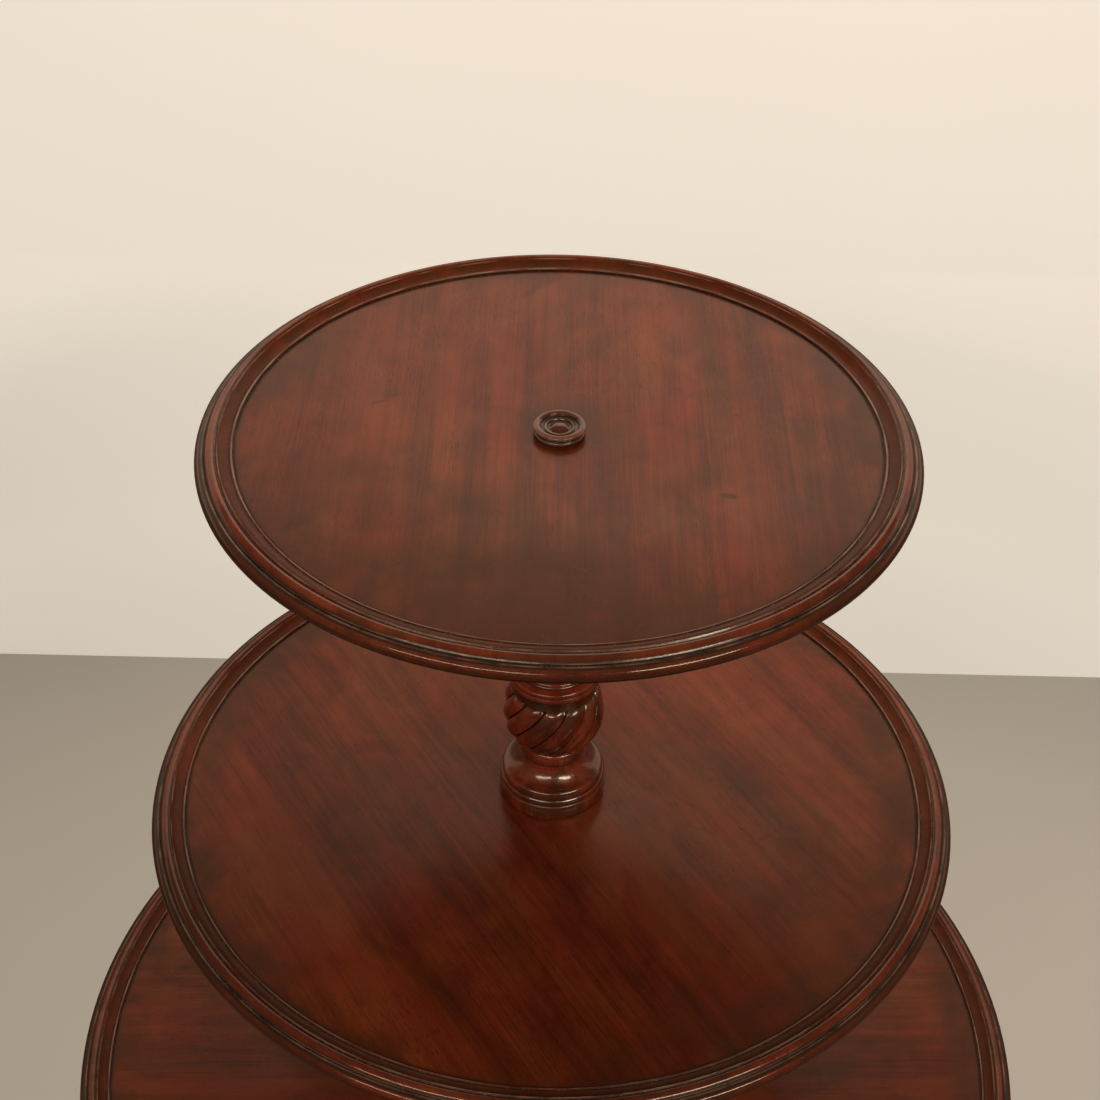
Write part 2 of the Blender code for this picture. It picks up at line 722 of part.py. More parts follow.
def cheek_mesh(side):
    """One curved cheek of the fork, on the side given as 1 or -1."""
    drop = CROWN_TOP - SEAT_GAP - AXLE_HEIGHT
    top = CROWN_TOP - SEAT_GAP

    def point(along, down):
        return (CASTOR_TRAIL * along, top - drop * down)

    axle_place = (CASTOR_TRAIL, AXLE_HEIGHT)
    boss = arc(axle_place, AXLE_BOSS_RADIUS, CHEEK_BOSS_START, CHEEK_BOSS_SWEEP, CHEEK_BOSS_STEPS)
    outline = [point(*share) for share in CHEEK_BACK_SHARES] + boss
    outline += [point(*share) for share in CHEEK_FRONT_SHARES]
    inner = CHEEK_INNER if side > 0 else -CHEEK_INNER - CHEEK_THICKNESS
    outer_face = Matrix.Translation((0.0, inner + CHEEK_THICKNESS, 0.0))
    upright = outer_face @ Matrix.Rotation(math.pi / 2.0, 4, "X")
    return prism("cheek", outline, CHEEK_THICKNESS, upright)


def fork_mesh():
    """The castor's fork: a crown plate with two cheeks that trail back to the axle."""
    crown = turned(
        "crown",
        [(0.0, CROWN_TOP), (CROWN_RADIUS, CROWN_TOP), (CROWN_RADIUS, CROWN_BOTTOM), (0.0, CROWN_BOTTOM)],
        WHEEL_STEPS,
    )
    pivot_bore = bore_radius(PIVOT_RADIUS, WHEEL_STEPS)
    pivot = turned(
        "pivot_bore",
        [(0.0, PAD_BOTTOM), (pivot_bore, PAD_BOTTOM), (pivot_bore, AXLE_HEIGHT), (0.0, AXLE_HEIGHT)],
        WHEEL_STEPS,
    )
    axle_bore = bore_radius(AXLE_RADIUS, PIN_STEPS)
    reach = CHEEK_INNER + 2.0 * CHEEK_THICKNESS
    axle_outline = [(0.0, reach), (axle_bore, reach), (axle_bore, -reach), (0.0, -reach)]
    axle = turned("axle_bore", axle_outline, PIN_STEPS)
    axle.transform(wheel_frame())
    steps = (
        ("UNION", cheek_mesh(1)),
        ("UNION", cheek_mesh(-1)),
        ("DIFFERENCE", pivot),
        ("DIFFERENCE", axle),
    )
    return combined("castor_fork", crown, steps)


def wheel_frame():
    """Turns a piece made about Z so that it lies about the castor's axle."""
    return Matrix.Translation((CASTOR_TRAIL, 0.0, AXLE_HEIGHT)) @ Matrix.Rotation(math.pi / 2.0, 4, "X")


def axle_mesh():
    """The axle pin, riveted over outside both cheeks."""
    seat = CHEEK_INNER + CHEEK_THICKNESS + SEAT_GAP
    end = seat + RIVET_HEIGHT
    half = [(0.0, end), (AXLE_RADIUS, end), (RIVET_RADIUS, seat), (AXLE_RADIUS, seat)]
    outline = half + [(radius, -height) for radius, height in reversed(half)]
    return turned("castor_axle", outline, PIN_STEPS)


def wheel_mesh():
    """The roller, with a boss proud of each side and bevelled edges to its tread."""
    bore = bore_radius(AXLE_RADIUS, WHEEL_STEPS)
    boss = WHEEL_WIDTH / 2.0
    side = boss - WHEEL_BOSS_STAND
    half = [
        (bore, boss),
        (WHEEL_BOSS_RADIUS, boss),
        (WHEEL_BOSS_RADIUS + WHEEL_BOSS_STAND, side),
        (WHEEL_RADIUS - WHEEL_BEVEL, side),
        (WHEEL_RADIUS, side - WHEEL_BEVEL),
    ]
    outline = half + [(radius, -height) for radius, height in reversed(half)]
    return turned("castor_wheel", outline, WHEEL_STEPS)


def legs_and_castors():
    """Each leg with its castor: a fixed plate, a fork that swivels and a wheel that rolls."""
    leg, pivot, fork, axle, wheel = leg_mesh(), pivot_mesh(), fork_mesh(), axle_mesh(), wheel_mesh()
    for index in range(LEG_COUNT):
        number = index + 1
        stand = guide(f"leg_{number}_line", turn=leg_angle(index))
        place(f"leg_{number}", leg, leg_finish(f"leg_{number}"), parent=stand)
        swivel = guide(f"castor_{number}_swivel", (LEG_REACH, 0.0, 0.0), parent=stand)
        place(f"castor_plate_{number}", pivot, brass_finish(f"castor_plate_{number}"), parent=swivel)
        place(f"castor_fork_{number}", fork, brass_finish(f"castor_fork_{number}"), parent=swivel)
        pin = place(f"castor_axle_{number}", axle, iron_finish(f"castor_axle_{number}"), parent=swivel)
        roller = place(f"castor_wheel_{number}", wheel, brass_finish(f"castor_wheel_{number}"), parent=swivel)
        for piece in (pin, roller):
            piece.matrix_basis = wheel_frame()


def main():
    clear_scene()
    leg_brace()
    base_pillar()
    legs_and_castors()
    tier("bottom", BOTTOM_TRAY_RADIUS, FOOT_RADIUS, BOTTOM_TRAY_HEIGHT)
    lower_column()
    tier("middle", MIDDLE_TRAY_RADIUS, FOOT_RADIUS, MIDDLE_TRAY_HEIGHT)
    upper_column()
    tier("top", TOP_TRAY_RADIUS, BUTTON_RADIUS, TOP_TRAY_HEIGHT)
    finial_button()


main()
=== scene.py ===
"""A three-tier mahogany dumbwaiter table, modelled in full around its packed frame.

Metres, +Z up, with the column's axis on Z and the floor at zero. Run as a script, it builds every piece
in order. Its operators and settings are also listed in the 3D view's sidebar.
"""

import functools
import json
import math

import bpy
import numpy as np
from bpy.props import FloatProperty, FloatVectorProperty, IntProperty, PointerProperty
from mathutils import Matrix, Vector


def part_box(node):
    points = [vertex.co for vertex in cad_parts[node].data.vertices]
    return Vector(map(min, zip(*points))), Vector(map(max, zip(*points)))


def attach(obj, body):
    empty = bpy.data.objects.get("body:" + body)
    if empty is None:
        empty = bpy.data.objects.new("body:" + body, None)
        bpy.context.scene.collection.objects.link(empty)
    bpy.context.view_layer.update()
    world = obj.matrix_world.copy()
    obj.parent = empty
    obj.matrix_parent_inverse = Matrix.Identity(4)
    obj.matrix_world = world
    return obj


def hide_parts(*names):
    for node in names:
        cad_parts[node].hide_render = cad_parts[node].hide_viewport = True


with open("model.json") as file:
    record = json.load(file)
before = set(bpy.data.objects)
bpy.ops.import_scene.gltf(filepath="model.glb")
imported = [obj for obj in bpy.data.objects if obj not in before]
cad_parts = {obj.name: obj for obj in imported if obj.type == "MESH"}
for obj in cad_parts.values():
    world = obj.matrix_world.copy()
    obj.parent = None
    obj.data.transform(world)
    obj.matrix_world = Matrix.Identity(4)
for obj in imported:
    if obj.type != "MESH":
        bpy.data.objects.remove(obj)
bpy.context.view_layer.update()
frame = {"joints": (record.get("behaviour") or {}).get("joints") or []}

bl_info = {
    "name": "Dumbwaiter Table",
    "version": (1, 0, 0),
    "blender": (4, 5, 0),
    "location": "View3D > Sidebar > Dumbwaiter",
    "description": "Models the trays, carved column, legs and castors of a three-tier dumbwaiter table",
    "category": "Add Mesh",
}

TIERS = ("bottom", "middle", "top")
JOINTS = {joint["name"]: joint for joint in frame["joints"]}
LEVELS = {tier: JOINTS[f"{tier}_tray_turn"]["pos_m"][2] for tier in TIERS}
RADII = {tier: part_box(f"{tier}_tray")[1].x for tier in TIERS}
LEG_COUNT = 3
MILLIMETRE = 0.001
WELD = 1e-6
SEAT_GAP = 0.0003
TRAY_PLAY = 0.0004
SMOOTH_ANGLE = math.radians(38.0)


def size(name, description, default):
    """A length that a user may change."""
    return FloatProperty(name=name, description=description, default=default, min=0.0, subtype="DISTANCE")


def colour(name, description, default):
    """A colour that a user may change."""
    return FloatVectorProperty(
        name=name, description=description, default=default, min=0.0, max=1.0, size=3, subtype="COLOR"
    )


class TraySettings(bpy.types.PropertyGroup):
    """Sizes of the trays and of what they turn on."""

    board: size("Board", "Thickness of each tray's board", 0.011)
    torus: size("Edge round", "Radius of the half-round along each tray's edge", 0.0045)
    hub_radius: size("Hub radius", "Radius of the block under each tray", 0.058)
    hub_thickness: size("Hub thickness", "Thickness of the block under each tray", 0.009)
    washer_radius: size("Washer radius", "Radius of the brass washer under each hub", 0.026)
    washer_thickness: size("Washer thickness", "Thickness of the brass washer", 0.0015)
    steps: IntProperty(name="Steps", description="Sides of each tray's round", default=168, min=24)


class ColumnSettings(bpy.types.PropertyGroup):
    """Sizes of the turned column and its carving."""

    spigot: size("Spigot", "Radius of the spigot that each tray turns on", 0.012)
    spigot_reach: size("Spigot reach", "How far a spigot stands over its tray", 0.026)
    neck: size("Neck", "Radius of the column's neck under its cap", 0.0172)
    pillar_neck: size("Pillar neck", "Radius of the pillar's neck under its cap", 0.0205)
    lobes: IntProperty(name="Lobes", description="Spiral lobes carved round each vase", default=12, min=3)
    twist: FloatProperty(
        name="Twist", description="Turn of the lobes over the vase", default=math.radians(62.0), subtype="ANGLE"
    )
    start: FloatProperty(
        name="Start", description="Where the first valley starts", default=math.radians(-13.0), subtype="ANGLE"
    )
    lobe_swell: size("Lobe swell", "How far the middle of a lobe stands over its edges", 0.0023)
    groove_depth: size("Groove depth", "Depth of the cut between two lobes", 0.0013)


class LegSettings(bpy.types.PropertyGroup):
    """Sizes of the legs, their block and the brace."""

    reach: size("Reach", "From the axis to the middle of a foot", 0.270)
    top: size("Top", "Height of a leg's top where it meets the block", 0.204)
    depth: size("Depth", "Depth of a leg where it meets the block", 0.076)
    width: size("Width", "Width of a leg at the block", 0.035)
    ankle: size("Ankle", "Width of a leg at its ankle", 0.023)
    block: size("Block", "Radius of the block that holds the legs", 0.033)
    pad_thickness: size("Pad thickness", "Thickness of the pad foot", 0.020)
    brace_thickness: size("Brace thickness", "Thickness of the iron plate", 0.0025)
    brace_reach: size("Brace reach", "From the axis to the end of an arm", 0.070)


class CastorSettings(bpy.types.PropertyGroup):
    """Sizes of the castors."""

    trail: size("Trail", "From the swivel's axis to the axle", 0.014)
    wheel_width: size("Wheel width", "Width of the roller", 0.013)
    plate_radius: size("Plate radius", "Radius of the plate under the foot", 0.019)
    crown_radius: size("Crown radius", "Radius of the fork's crown", 0.0115)
    cheek: size("Cheek", "Thickness of the fork's cheeks", 0.0024)


class FinishSettings(bpy.types.PropertyGroup):
    """Colours of the finishes."""

    tray_light: colour("Tray light", "Lighter grain of the trays", (0.172, 0.0265, 0.0095))
    tray_dark: colour("Tray dark", "Darker grain of the trays", (0.063, 0.0088, 0.0035))
    turned_light: colour("Turned light", "Lighter grain of the turned wood", (0.215, 0.03, 0.011))
    turned_dark: colour("Turned dark", "Darker grain of the turned wood", (0.05, 0.0075, 0.003))
    button_light: colour("Button light", "Lighter grain of the button", (0.105, 0.022, 0.01))
    button_dark: colour("Button dark", "Darker grain of the button", (0.045, 0.009, 0.0045))
    varnish: colour("Varnish", "Tint of what the polish mirrors", (1.0, 0.88, 0.68))
    bare_light: colour("Bare light", "Lighter grain of the unpolished wood", (0.12, 0.06, 0.036))
    bare_dark: colour("Bare dark", "Darker grain of the unpolished wood", (0.055, 0.026, 0.016))
    # Grime and film also colour the painted shade that the trays' fields and rims are given.
    grime: colour("Grime", "Old polish and dirt in the deepest hollows", (0.0105, 0.0065, 0.004))
    film: colour("Film", "Brown film of dirt in wide hollows and in stains", (0.05, 0.0135, 0.005))
    worn: colour("Worn", "Edges where the polish is rubbed through", (0.29, 0.13, 0.082))
    wax: colour("Wax", "Dried wax in the deepest hollows", (0.2, 0.17, 0.13))
    brass: colour("Brass", "Rubbed brass", (0.52, 0.34, 0.13))
    tarnish: colour("Tarnish", "Tarnished brass", (0.19, 0.11, 0.045))
    iron: colour("Iron", "Wrought iron", (0.075, 0.068, 0.062))
    rust: colour("Rust", "Rust on the iron", (0.14, 0.052, 0.02))


class StageSettings(bpy.types.PropertyGroup):
    """The floor, the light and the camera."""

    floor: colour("Floor", "Colour of the floor", (0.56, 0.5, 0.43))
    wall: colour("Wall", "Colour of the backdrop", (0.88, 0.81, 0.715))
    surround: colour("Surround", "Colour behind the object where there is no backdrop", (0.8, 0.76, 0.7))
    ambient: colour("Ambient", "Light from all round", (0.175, 0.147, 0.112))
    lamp: colour("Lamp", "Colour of the lamps", (1.0, 0.94, 0.84))
    lens: FloatProperty(
        name="Lens", description="Focal length of the camera", default=60.70, min=1.0, unit="CAMERA"
    )


SETTINGS = {
    "dumbwaiter_trays": TraySettings,
    "dumbwaiter_column": ColumnSettings,
    "dumbwaiter_legs": LegSettings,
    "dumbwaiter_castors": CastorSettings,
    "dumbwaiter_finishes": FinishSettings,
    "dumbwaiter_stage": StageSettings,
}

# Outlines in millimetres, as (radius, height). The rim's radii count inwards from the tray's edge and
# its heights from the field.
RIM_START = 21.4
RIM_GROOVE = ((12.1, 3.6),)
RIM_QUIRK = ((5.3, 1.2), (4.9, 1.1))
RIM_UNDERSIDE = ((5.6, -8.0), (14.5, -11.0))
RIM_BEAD = ((11.3, 4.0), (10.6, 4.55), (9.5, 4.8), (8.3, 4.6), (7.1, 4.05), (6.1, 3.15), (5.4, 2.3))
COVE = ((19.8, 1.35), (18.4, 1.5), (16.3, 2.25), (14.4, 3.35), (12.9, 4.7))
FOOT_BASE = ((33.3, 0.4), (33.9, 1.1), (34.2, 2.6), (34.3, 5.0), (34.25, 8.2), (33.9, 10.2), (33.2, 11.3))
FOOT_RING_LOW = ((33.2, 11.8), (33.8, 12.5), (34.0, 14.1), (33.8, 15.7), (33.1, 16.6))
FOOT_RING_HIGH = ((32.2, 17.2), (32.65, 18.1), (32.6, 19.6), (32.1, 21.2), (31.3, 22.1))
FOOT_FLARE = ((30.6, 22.3), (29.0, 22.7), (26.7, 23.9), (24.3, 25.9), (22.0, 28.5), (20.5, 31.2), (19.7, 34.9))
WAIST_RING = ((20.2, 35.4), (21.2, 36.9), (21.5, 39.5), (21.2, 42.2), (20.2, 43.7))
VASE = (
    (19.4, 46.3), (22.4, 46.9), (25.6, 48.9), (29.1, 53.6), (31.4, 60.4), (32.0, 67.5), (31.6, 74.0),
    (30.5, 80.0), (28.9, 85.2), (28.0, 87.6),
)
COLLAR_LOW = ((28.0, 95.5), (28.7, 96.5), (28.95, 98.1), (28.55, 99.5))
COLLAR_HIGH = ((28.55, 100.3), (28.95, 101.7), (28.6, 103.0), (27.6, 103.9))
COLLAR_COVE = ((26.4, 104.3), (24.5, 104.9), (23.6, 105.8), (23.4, 106.9), (22.9, 107.6), (22.7, 110.0))
CAP = (
    (17.2, 0.0), (19.4, 1.2), (20.3, 2.2), (20.45, 3.3), (20.3, 4.4), (19.4, 5.4), (17.5, 6.4), (17.5, 8.4),
    (18.5, 11.8), (20.8, 15.8), (24.2, 19.2), (28.4, 20.9), (29.5, 21.3), (29.5, 24.0),
)
BUTTON = (
    (14.1, 0.4), (14.5, 0.9), (14.55, 1.5), (14.2, 2.2), (13.4, 2.8), (13.5, 3.2), (14.4, 3.8), (14.95, 4.7),
    (14.8, 5.6), (14.1, 6.2), (13.0, 6.4), (11.9, 6.2), (11.2, 5.6), (10.9, 4.8), (10.0, 4.3), (8.9, 4.5),
    (8.2, 4.9), (7.5, 4.7), (7.0, 4.0), (5.9, 3.7), (4.9, 4.2), (3.4, 5.1), (1.6, 5.6), (0.0, 5.7),
)
PAD = (
    (24.0, 0.0), (26.4, 0.6), (27.6, 2.4), (28.0, 5.0), (27.6, 8.6), (25.6, 12.6), (21.0, 16.2), (14.0, 18.8),
    (7.0, 19.8), (0.0, 20.0),
)
# The cheek's edges behind and before, as shares of the trail and of the drop from the crown to the axle.
CHEEK_BACK = ((0.57, 0.0), (0.66, 0.1), (0.8, 0.2), (1.0, 0.34), (1.17, 0.54))
CHEEK_FRONT = ((0.36, 0.72), (0.08, 0.57), (-0.14, 0.4), (-0.34, 0.26), (-0.46, 0.16), (-0.5, 0.0))
# Marks on the fields, as (x, y, length, width, turn in degrees, depth): knots, a row of pits, stains, and some
# broad patches of painted shade.
TRAY_MARKS = {
    "bottom": ((-262.0, -96.0, 5.0, 3.0, 20.0, 0.5),),
    "middle": (
        (-125.0, -28.0, 2.2, 1.8, 0.0, 1.2), (90.0, -17.0, 16.0, 3.0, -40.0, 0.3),
        (101.0, -40.0, 14.0, 5.0, -50.0, 0.3), (137.0, -94.0, 30.0, 14.0, -35.0, 0.22),
        # Painted shadow: the second mark on this line and both marks on the next, over the middle tray's right
        # and front.
        (-150.0, 120.0, 40.0, 16.0, 60.0, 0.2), (160.0, -20.0, 60.0, 110.0, 10.0, 0.2),
        (60.0, -190.0, 120.0, 30.0, 15.0, 0.12), (125.0, -150.0, 70.0, 40.0, 40.0, 0.2),
    ),
    "top": (
        (-104.0, 28.0, 6.0, 2.0, 15.0, 0.8), (-98.0, 36.0, 14.0, 7.0, 30.0, 0.2),
        (92.0, -56.5, 8.0, 4.0, -10.0, 0.75), (94.7, 44.1, 2.0, 1.3, -50.0, 1.6),
        (97.0, 37.0, 2.0, 1.2, -50.0, 1.6), (99.3, 29.5, 2.0, 1.2, -60.0, 1.6),
        (101.7, 21.2, 2.0, 1.4, -50.0, 1.6), (68.0, 47.0, 9.0, 4.0, -25.0, 0.35),
        (76.0, 40.7, 6.0, 3.0, 5.0, 0.4), (-20.5, 155.7, 16.0, 6.0, 60.0, 0.4),
        (8.4, 66.0, 5.0, 3.0, 0.0, 0.3), (0.0, 30.0, 30.0, 26.0, 0.0, 0.12),
        # Painted shade: both marks on this line, over the top tray's near part.
        (-70.0, -95.0, 130.0, 60.0, -35.0, 0.36), (0.0, -150.0, 140.0, 50.0, 0.0, 0.26),
        (20.0, 120.0, 26.0, 70.0, 8.0, 0.12), (-120.0, 40.0, 40.0, 80.0, 20.0, 0.12),
    ),
}
# Marks from this length on have softer, less ragged edges.
LARGE_MARK = 18.0
# The direction of each tray's grain, in degrees from left to right.
GRAIN_TURNS = {"top": 90.0, "middle": 122.0, "bottom": 2.0}
# Widths and heights of a column stage's parts, in millimetres.
FOOT_WIDTH = 34.3
PILLAR_WIDTH = 37.0
VASE_WIDTH = 32.0
VASE_LEVEL = 46.3
LOBE_END = 87.2
BAND_WIDTH = 27.0
STAGE_TOP = 113.0
CAP_HEIGHT = 24.0
CAP_NECK, CAP_SPREAD = 17.2, 21.0
SHAFT_BOW = 0.62
# A column stage from its foot up: smooth runs, and the grooves between them as single points.
FOOT_RUNS = (
    FOOT_BASE, ((32.7, 11.55),), FOOT_RING_LOW, ((32.0, 16.9),), FOOT_RING_HIGH, FOOT_FLARE, WAIST_RING,
    ((19.1, 44.3),),
)
COLLAR_RUNS = (((BAND_WIDTH, 88.4),), ((26.4, 95.0),), COLLAR_LOW, ((27.9, 99.9),), COLLAR_HIGH)
# Where a leg's upper and lower edges pass, as shares of its reach and height, and how slim it is there.
LEG_STATIONS = (
    ((0.05, 1.0), (0.05, 1.0), 0.0),
    ((0.18, 0.995), (0.17, 1.0), 0.0),
    ((0.28, 1.005), (0.262, 1.01), 0.03),
    ((0.385, 0.98), (0.335, 1.12), 0.1),
    ((0.48, 0.885), (0.405, 1.13), 0.25),
    ((0.562, 0.74), (0.485, 1.02), 0.42),
    ((0.635, 0.575), (0.565, 0.79), 0.6),
    ((0.708, 0.42), (0.645, 0.54), 0.76),
    ((0.787, 0.285), (0.735, 0.29), 0.9),
    ((0.872, 0.185), (0.83, 0.09), 1.0),
    ((0.955, 0.11), (0.92, -0.05), 1.0),
    ((1.03, 0.02), (0.975, -0.14), 0.9),
)
# How square a leg is in section, and how much less so at the ankle.
LEG_SQUARE, LEG_ROUNDING = 3.2, 1.1
# The rings that keep a tray's field flat, out from the axis and in from the edge, and how much wider than
# the spigot with its gap the bores are, all in millimetres.
FIELD_RINGS, FIELD_INSETS = (14.0, 16.0, 18.0, 34.0, 36.0, 40.0), (30.0, 23.8, 22.4)
TRAY_BORE_PLAY, HUB_BORE_PLAY = 0.1, 0.15
# How the turned parts and the legs go together, in millimetres. The cope is the round that fits a leg to
# the block, between these two levels.
SOCKET_PLAY, SPIGOT_CHAMFER = 0.4, 1.0
TENON_RADIUS, TENON_HOLE, TENON_DEPTH = 4.0, 4.4, 18.0
BLOCK_RISE, BLOCK_TOP_SHARE = 7.0, 0.96
TONGUE_REACH, TONGUE_DROP = 14.0, 8.0
TONGUE_WIDE, TONGUE_NARROW = 9.5, 7.0
SLOT_PLAY, SLOT_OVERRUN = 0.3, 8.0
COPE_LOW, COPE_HIGH = 90.0, 260.0
BRACE_ARM, BRACE_HUB = 9.0, 24.0
# The screws: how far out they are in metres, and their heads' radii and slots in millimetres.
HUB_SCREWS_OUT, BRACE_SCREWS_OUT, PLATE_SCREWS_IN = 0.041, (0.046, 0.061), 0.0038
HUB_SCREW, BRACE_SCREW, PLATE_SCREW = 3.4, 3.3, 2.2
SLOT_OUTLINE, SLOT_DEPTH = ((-9.0, -0.4), (9.0, -0.4), (9.0, 0.4), (-9.0, 0.4)), 0.85
# Gaps, bores and depths of the castors' parts, in millimetres.
GAP, WHEEL_PLAY = 0.3, 0.6
AXLE_BORE, PIVOT_BORE = 2.35, 3.8
PLATE_DEPTH, CROWN_DEPTH = 2.3, 4.0
CASTOR_EASE = 0.12
# Where a tray's finishes change, in metres inwards from its edge.
COVE_INSETS = (0.0129, 0.0197)
RIM_INSET = 0.0214
BARE_INSET = 0.006
# The carving. Powers bend a curve, and lengths are in metres: down from the lobes' ends, or off a groove.
LOBE_STEPS = 20
GATHER = 0.78
TWIST_POWER, CROWN_POWER, GROOVE_POWER, END_POWER = 1.1, 1.9, 0.9, 2.5
GROOVE_REACH = 0.0008
LIP_PLACE, LIP_WIDTH, LIP_HEIGHT = 0.00098, 0.0004, 0.0005
FADE_IN = 0.12
DOME_LENGTH, DOME_DEPTH = 0.0036, 0.0013
END_ARCH, END_SOFT, END_SLOPE = 0.0028, 0.0007, 0.22
PAST_END, PLAIN_TOP = 0.0012, 0.0955
# How a corner is rounded: by how much in millimetres, from which bend, and over which share of a short side.
# A long side also gets a point a little further on, which keeps its face flat.
EASE = 0.18
SLIGHT_BEND = math.radians(28.0)
EASED_SHARE = 0.42
EASED_POINTS = (0.0, 0.33, 0.67, 1.0)
LONG_SIDE, FURTHER_ON = 8.0, 3.0
# How hollows and edges are read, in metres: the bend's scale, the reach of a point, and the nearest two.
BEND_SCALE = 0.0035
POINT_REACH = 0.0005
NEAREST = 0.0002
NEAREST_SQUARED = 1e-10
# How hollow the carving's ground counts: dirt, and painted shade under the collar.
GROUND_HOLLOW = 0.3
# The stage, in metres and degrees. Each lamp: its place, the height it aims at, its width and height, its
# power, and whether shiny surfaces mirror it.
STAGE_WIDTH = 12.0
WALL_BEHIND, WALL_TOP = 0.9, 1.81
MIRROR_HEIGHTS = (1.0, 1.2)
CAMERA_PITCH, CAMERA_ROLL, CAMERA_YAW = 38.188, 1.052, -0.290
CAMERA_BACK, CAMERA_OVER_TOP = 0.86413, 0.5955
CAMERA_SENSOR, CAMERA_SHIFT = 36.0, 0.4 / 1100.0
LAMPS = {
    "high_window": ((0.1, 0.75, 2.05), 0.8, 0.6, 0.45, 14.0, False),
    "low_window": ((0.0, 0.85, 0.75), 0.5, 1.2, 0.9, 3.0, False),
    "right_lamp": ((1.41, -1.81, 2.41), 0.8, 1.3, 0.28, 29.0, True),
    "left_lamp": ((-1.0, -2.06, 2.41), 0.8, 1.8, 0.26, 19.5, True),
}


class ShapingError(RuntimeError):
    """A piece that could not be shaped."""


def settings(group):
    """The settings of one group, such as trays or legs, as the user has them."""
    return getattr(bpy.context.scene, f"dumbwaiter_{group}")


def deselect():
    """Leaves edit mode and drops the whole selection."""
    active = bpy.context.view_layer.objects.active
    if active is not None and active.mode != "OBJECT":
        bpy.ops.object.mode_set(mode="OBJECT")
    bpy.ops.object.select_all(action="DESELECT")


def choose(*objects):
    """Selects these objects alone, the first of them active."""
    deselect()
    for chosen in objects:
        chosen.select_set(True)
    bpy.context.view_layer.objects.active = objects[0]


def edit_all():
    """Enters edit mode with the whole mesh selected."""
    bpy.ops.object.mode_set(mode="EDIT")
    bpy.ops.mesh.select_all(action="SELECT")


def lone_point(name, radius, height):
    """A new object of a single vertex, left in edit mode with that vertex selected."""
    deselect()
    bpy.ops.mesh.primitive_plane_add(size=MILLIMETRE)
    made = bpy.context.object
    made.name = name
    made.data.name = name
    edit_all()
    bpy.ops.mesh.merge(type="CENTER")
    bpy.ops.transform.translate(value=(radius, 0.0, height))
    return made


def tidy_mesh(made):
    """Merges doubles and turns the faces outwards, and leaves edit mode."""
    choose(made)
    edit_all()
    bpy.ops.mesh.remove_doubles(threshold=WELD)
    bpy.ops.mesh.normals_make_consistent(inside=False)
    bpy.ops.object.mode_set(mode="OBJECT")


def smooth(made):
    """Shades the piece smooth, but for its sharp corners."""
    choose(made)
    bpy.ops.object.shade_smooth_by_angle(angle=SMOOTH_ANGLE)


def turned(name, outline, steps):
    """Draws the outline from one vertex and spins it about Z. An outline off the axis is closed."""
    points = [Vector((radius * MILLIMETRE, 0.0, height * MILLIMETRE)) for radius, height in outline]
    if outline[0][0] > 0.0 or outline[-1][0] > 0.0:
        points.append(points[0])
    made = lone_point(name, points[0].x, points[0].z)
    for before, after in zip(points, points[1:]):
        bpy.ops.mesh.extrude_vertices_move(TRANSFORM_OT_translate={"value": after - before})
    bpy.ops.mesh.select_all(action="SELECT")
    bpy.ops.mesh.remove_doubles(threshold=WELD)
    bpy.ops.mesh.spin(steps=steps, angle=math.tau, center=(0.0, 0.0, 0.0), axis=(0.0, 0.0, 1.0))
    tidy_mesh(made)
    if len(made.data.polygons) < steps:
        raise ShapingError(f"{name} has too few faces")
    return made


def plate(name, outline, thickness, height, bevel):
    """A circle whose points are moved onto the outline, filled, raised and bevelled. Sizes in millimetres."""
    deselect()
    bpy.ops.mesh.primitive_circle_add(vertices=len(outline), radius=MILLIMETRE, fill_type="NGON")
    made = bpy.context.object
    made.name = name
    made.data.name = name
    for vertex, (x, y) in zip(made.data.vertices, outline):
        vertex.co = Vector((x, y, height)) * MILLIMETRE
    edit_all()
    raise_by = {"value": (0.0, 0.0, thickness * MILLIMETRE)}
    bpy.ops.mesh.extrude_region_move(TRANSFORM_OT_translate=raise_by)
    tidy_mesh(made)
    if bevel:
        add_modifier(made, "BEVEL", width=bevel * MILLIMETRE, segments=2, limit_method="ANGLE")
    return made


def add_modifier(made, kind, **values):
    """Adds a modifier with these values and applies it."""
    choose(made)
    modifier = made.modifiers.new(kind.title(), kind)
    for key, value in values.items():
        setattr(modifier, key, value)
    bpy.ops.object.modifier_apply(modifier=modifier.name)


def combine(made, *steps):
    """Joins other pieces to this one or cuts them from it, and removes them."""
    for operation, other in steps:
        add_modifier(made, "BOOLEAN", operation=operation, object=other, solver="EXACT")
        bpy.data.objects.remove(other, do_unlink=True)
    tidy_mesh(made)
    return made


def copied(made, name, matrix):
    """A copy with its own mesh, moved by the matrix."""
    other = made.copy()
    other.data = made.data.copy()
    other.name = name
    other.data.name = name
    bpy.context.scene.collection.objects.link(other)
    other.data.transform(matrix)
    return other


def joined(pieces, name):
    """One piece of several."""
    choose(*pieces)
    bpy.ops.object.join()
    pieces[0].name = name
    return pieces[0]


def moved(made, matrix):
    """The piece, with its mesh moved by the matrix."""
    made.data.transform(matrix)
    return made


def raised(made, height):
    """The piece, raised by a height in metres."""
    return moved(made, Matrix.Translation((0.0, 0.0, height)))


def placed(made, body, slot, *nodes):
    """Gives a finished piece its body and hides the solids that it stands for. The slot is not used."""
    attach(made, body)
    if nodes:
        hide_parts(*nodes)


def arc(centre, radius, start, sweep, steps):
    """Points along an arc. Angles in degrees."""
    angles = [math.radians(start + sweep * step / steps) for step in range(steps + 1)]
    return [(centre[0] + radius * math.cos(a), centre[1] + radius * math.sin(a)) for a in angles]


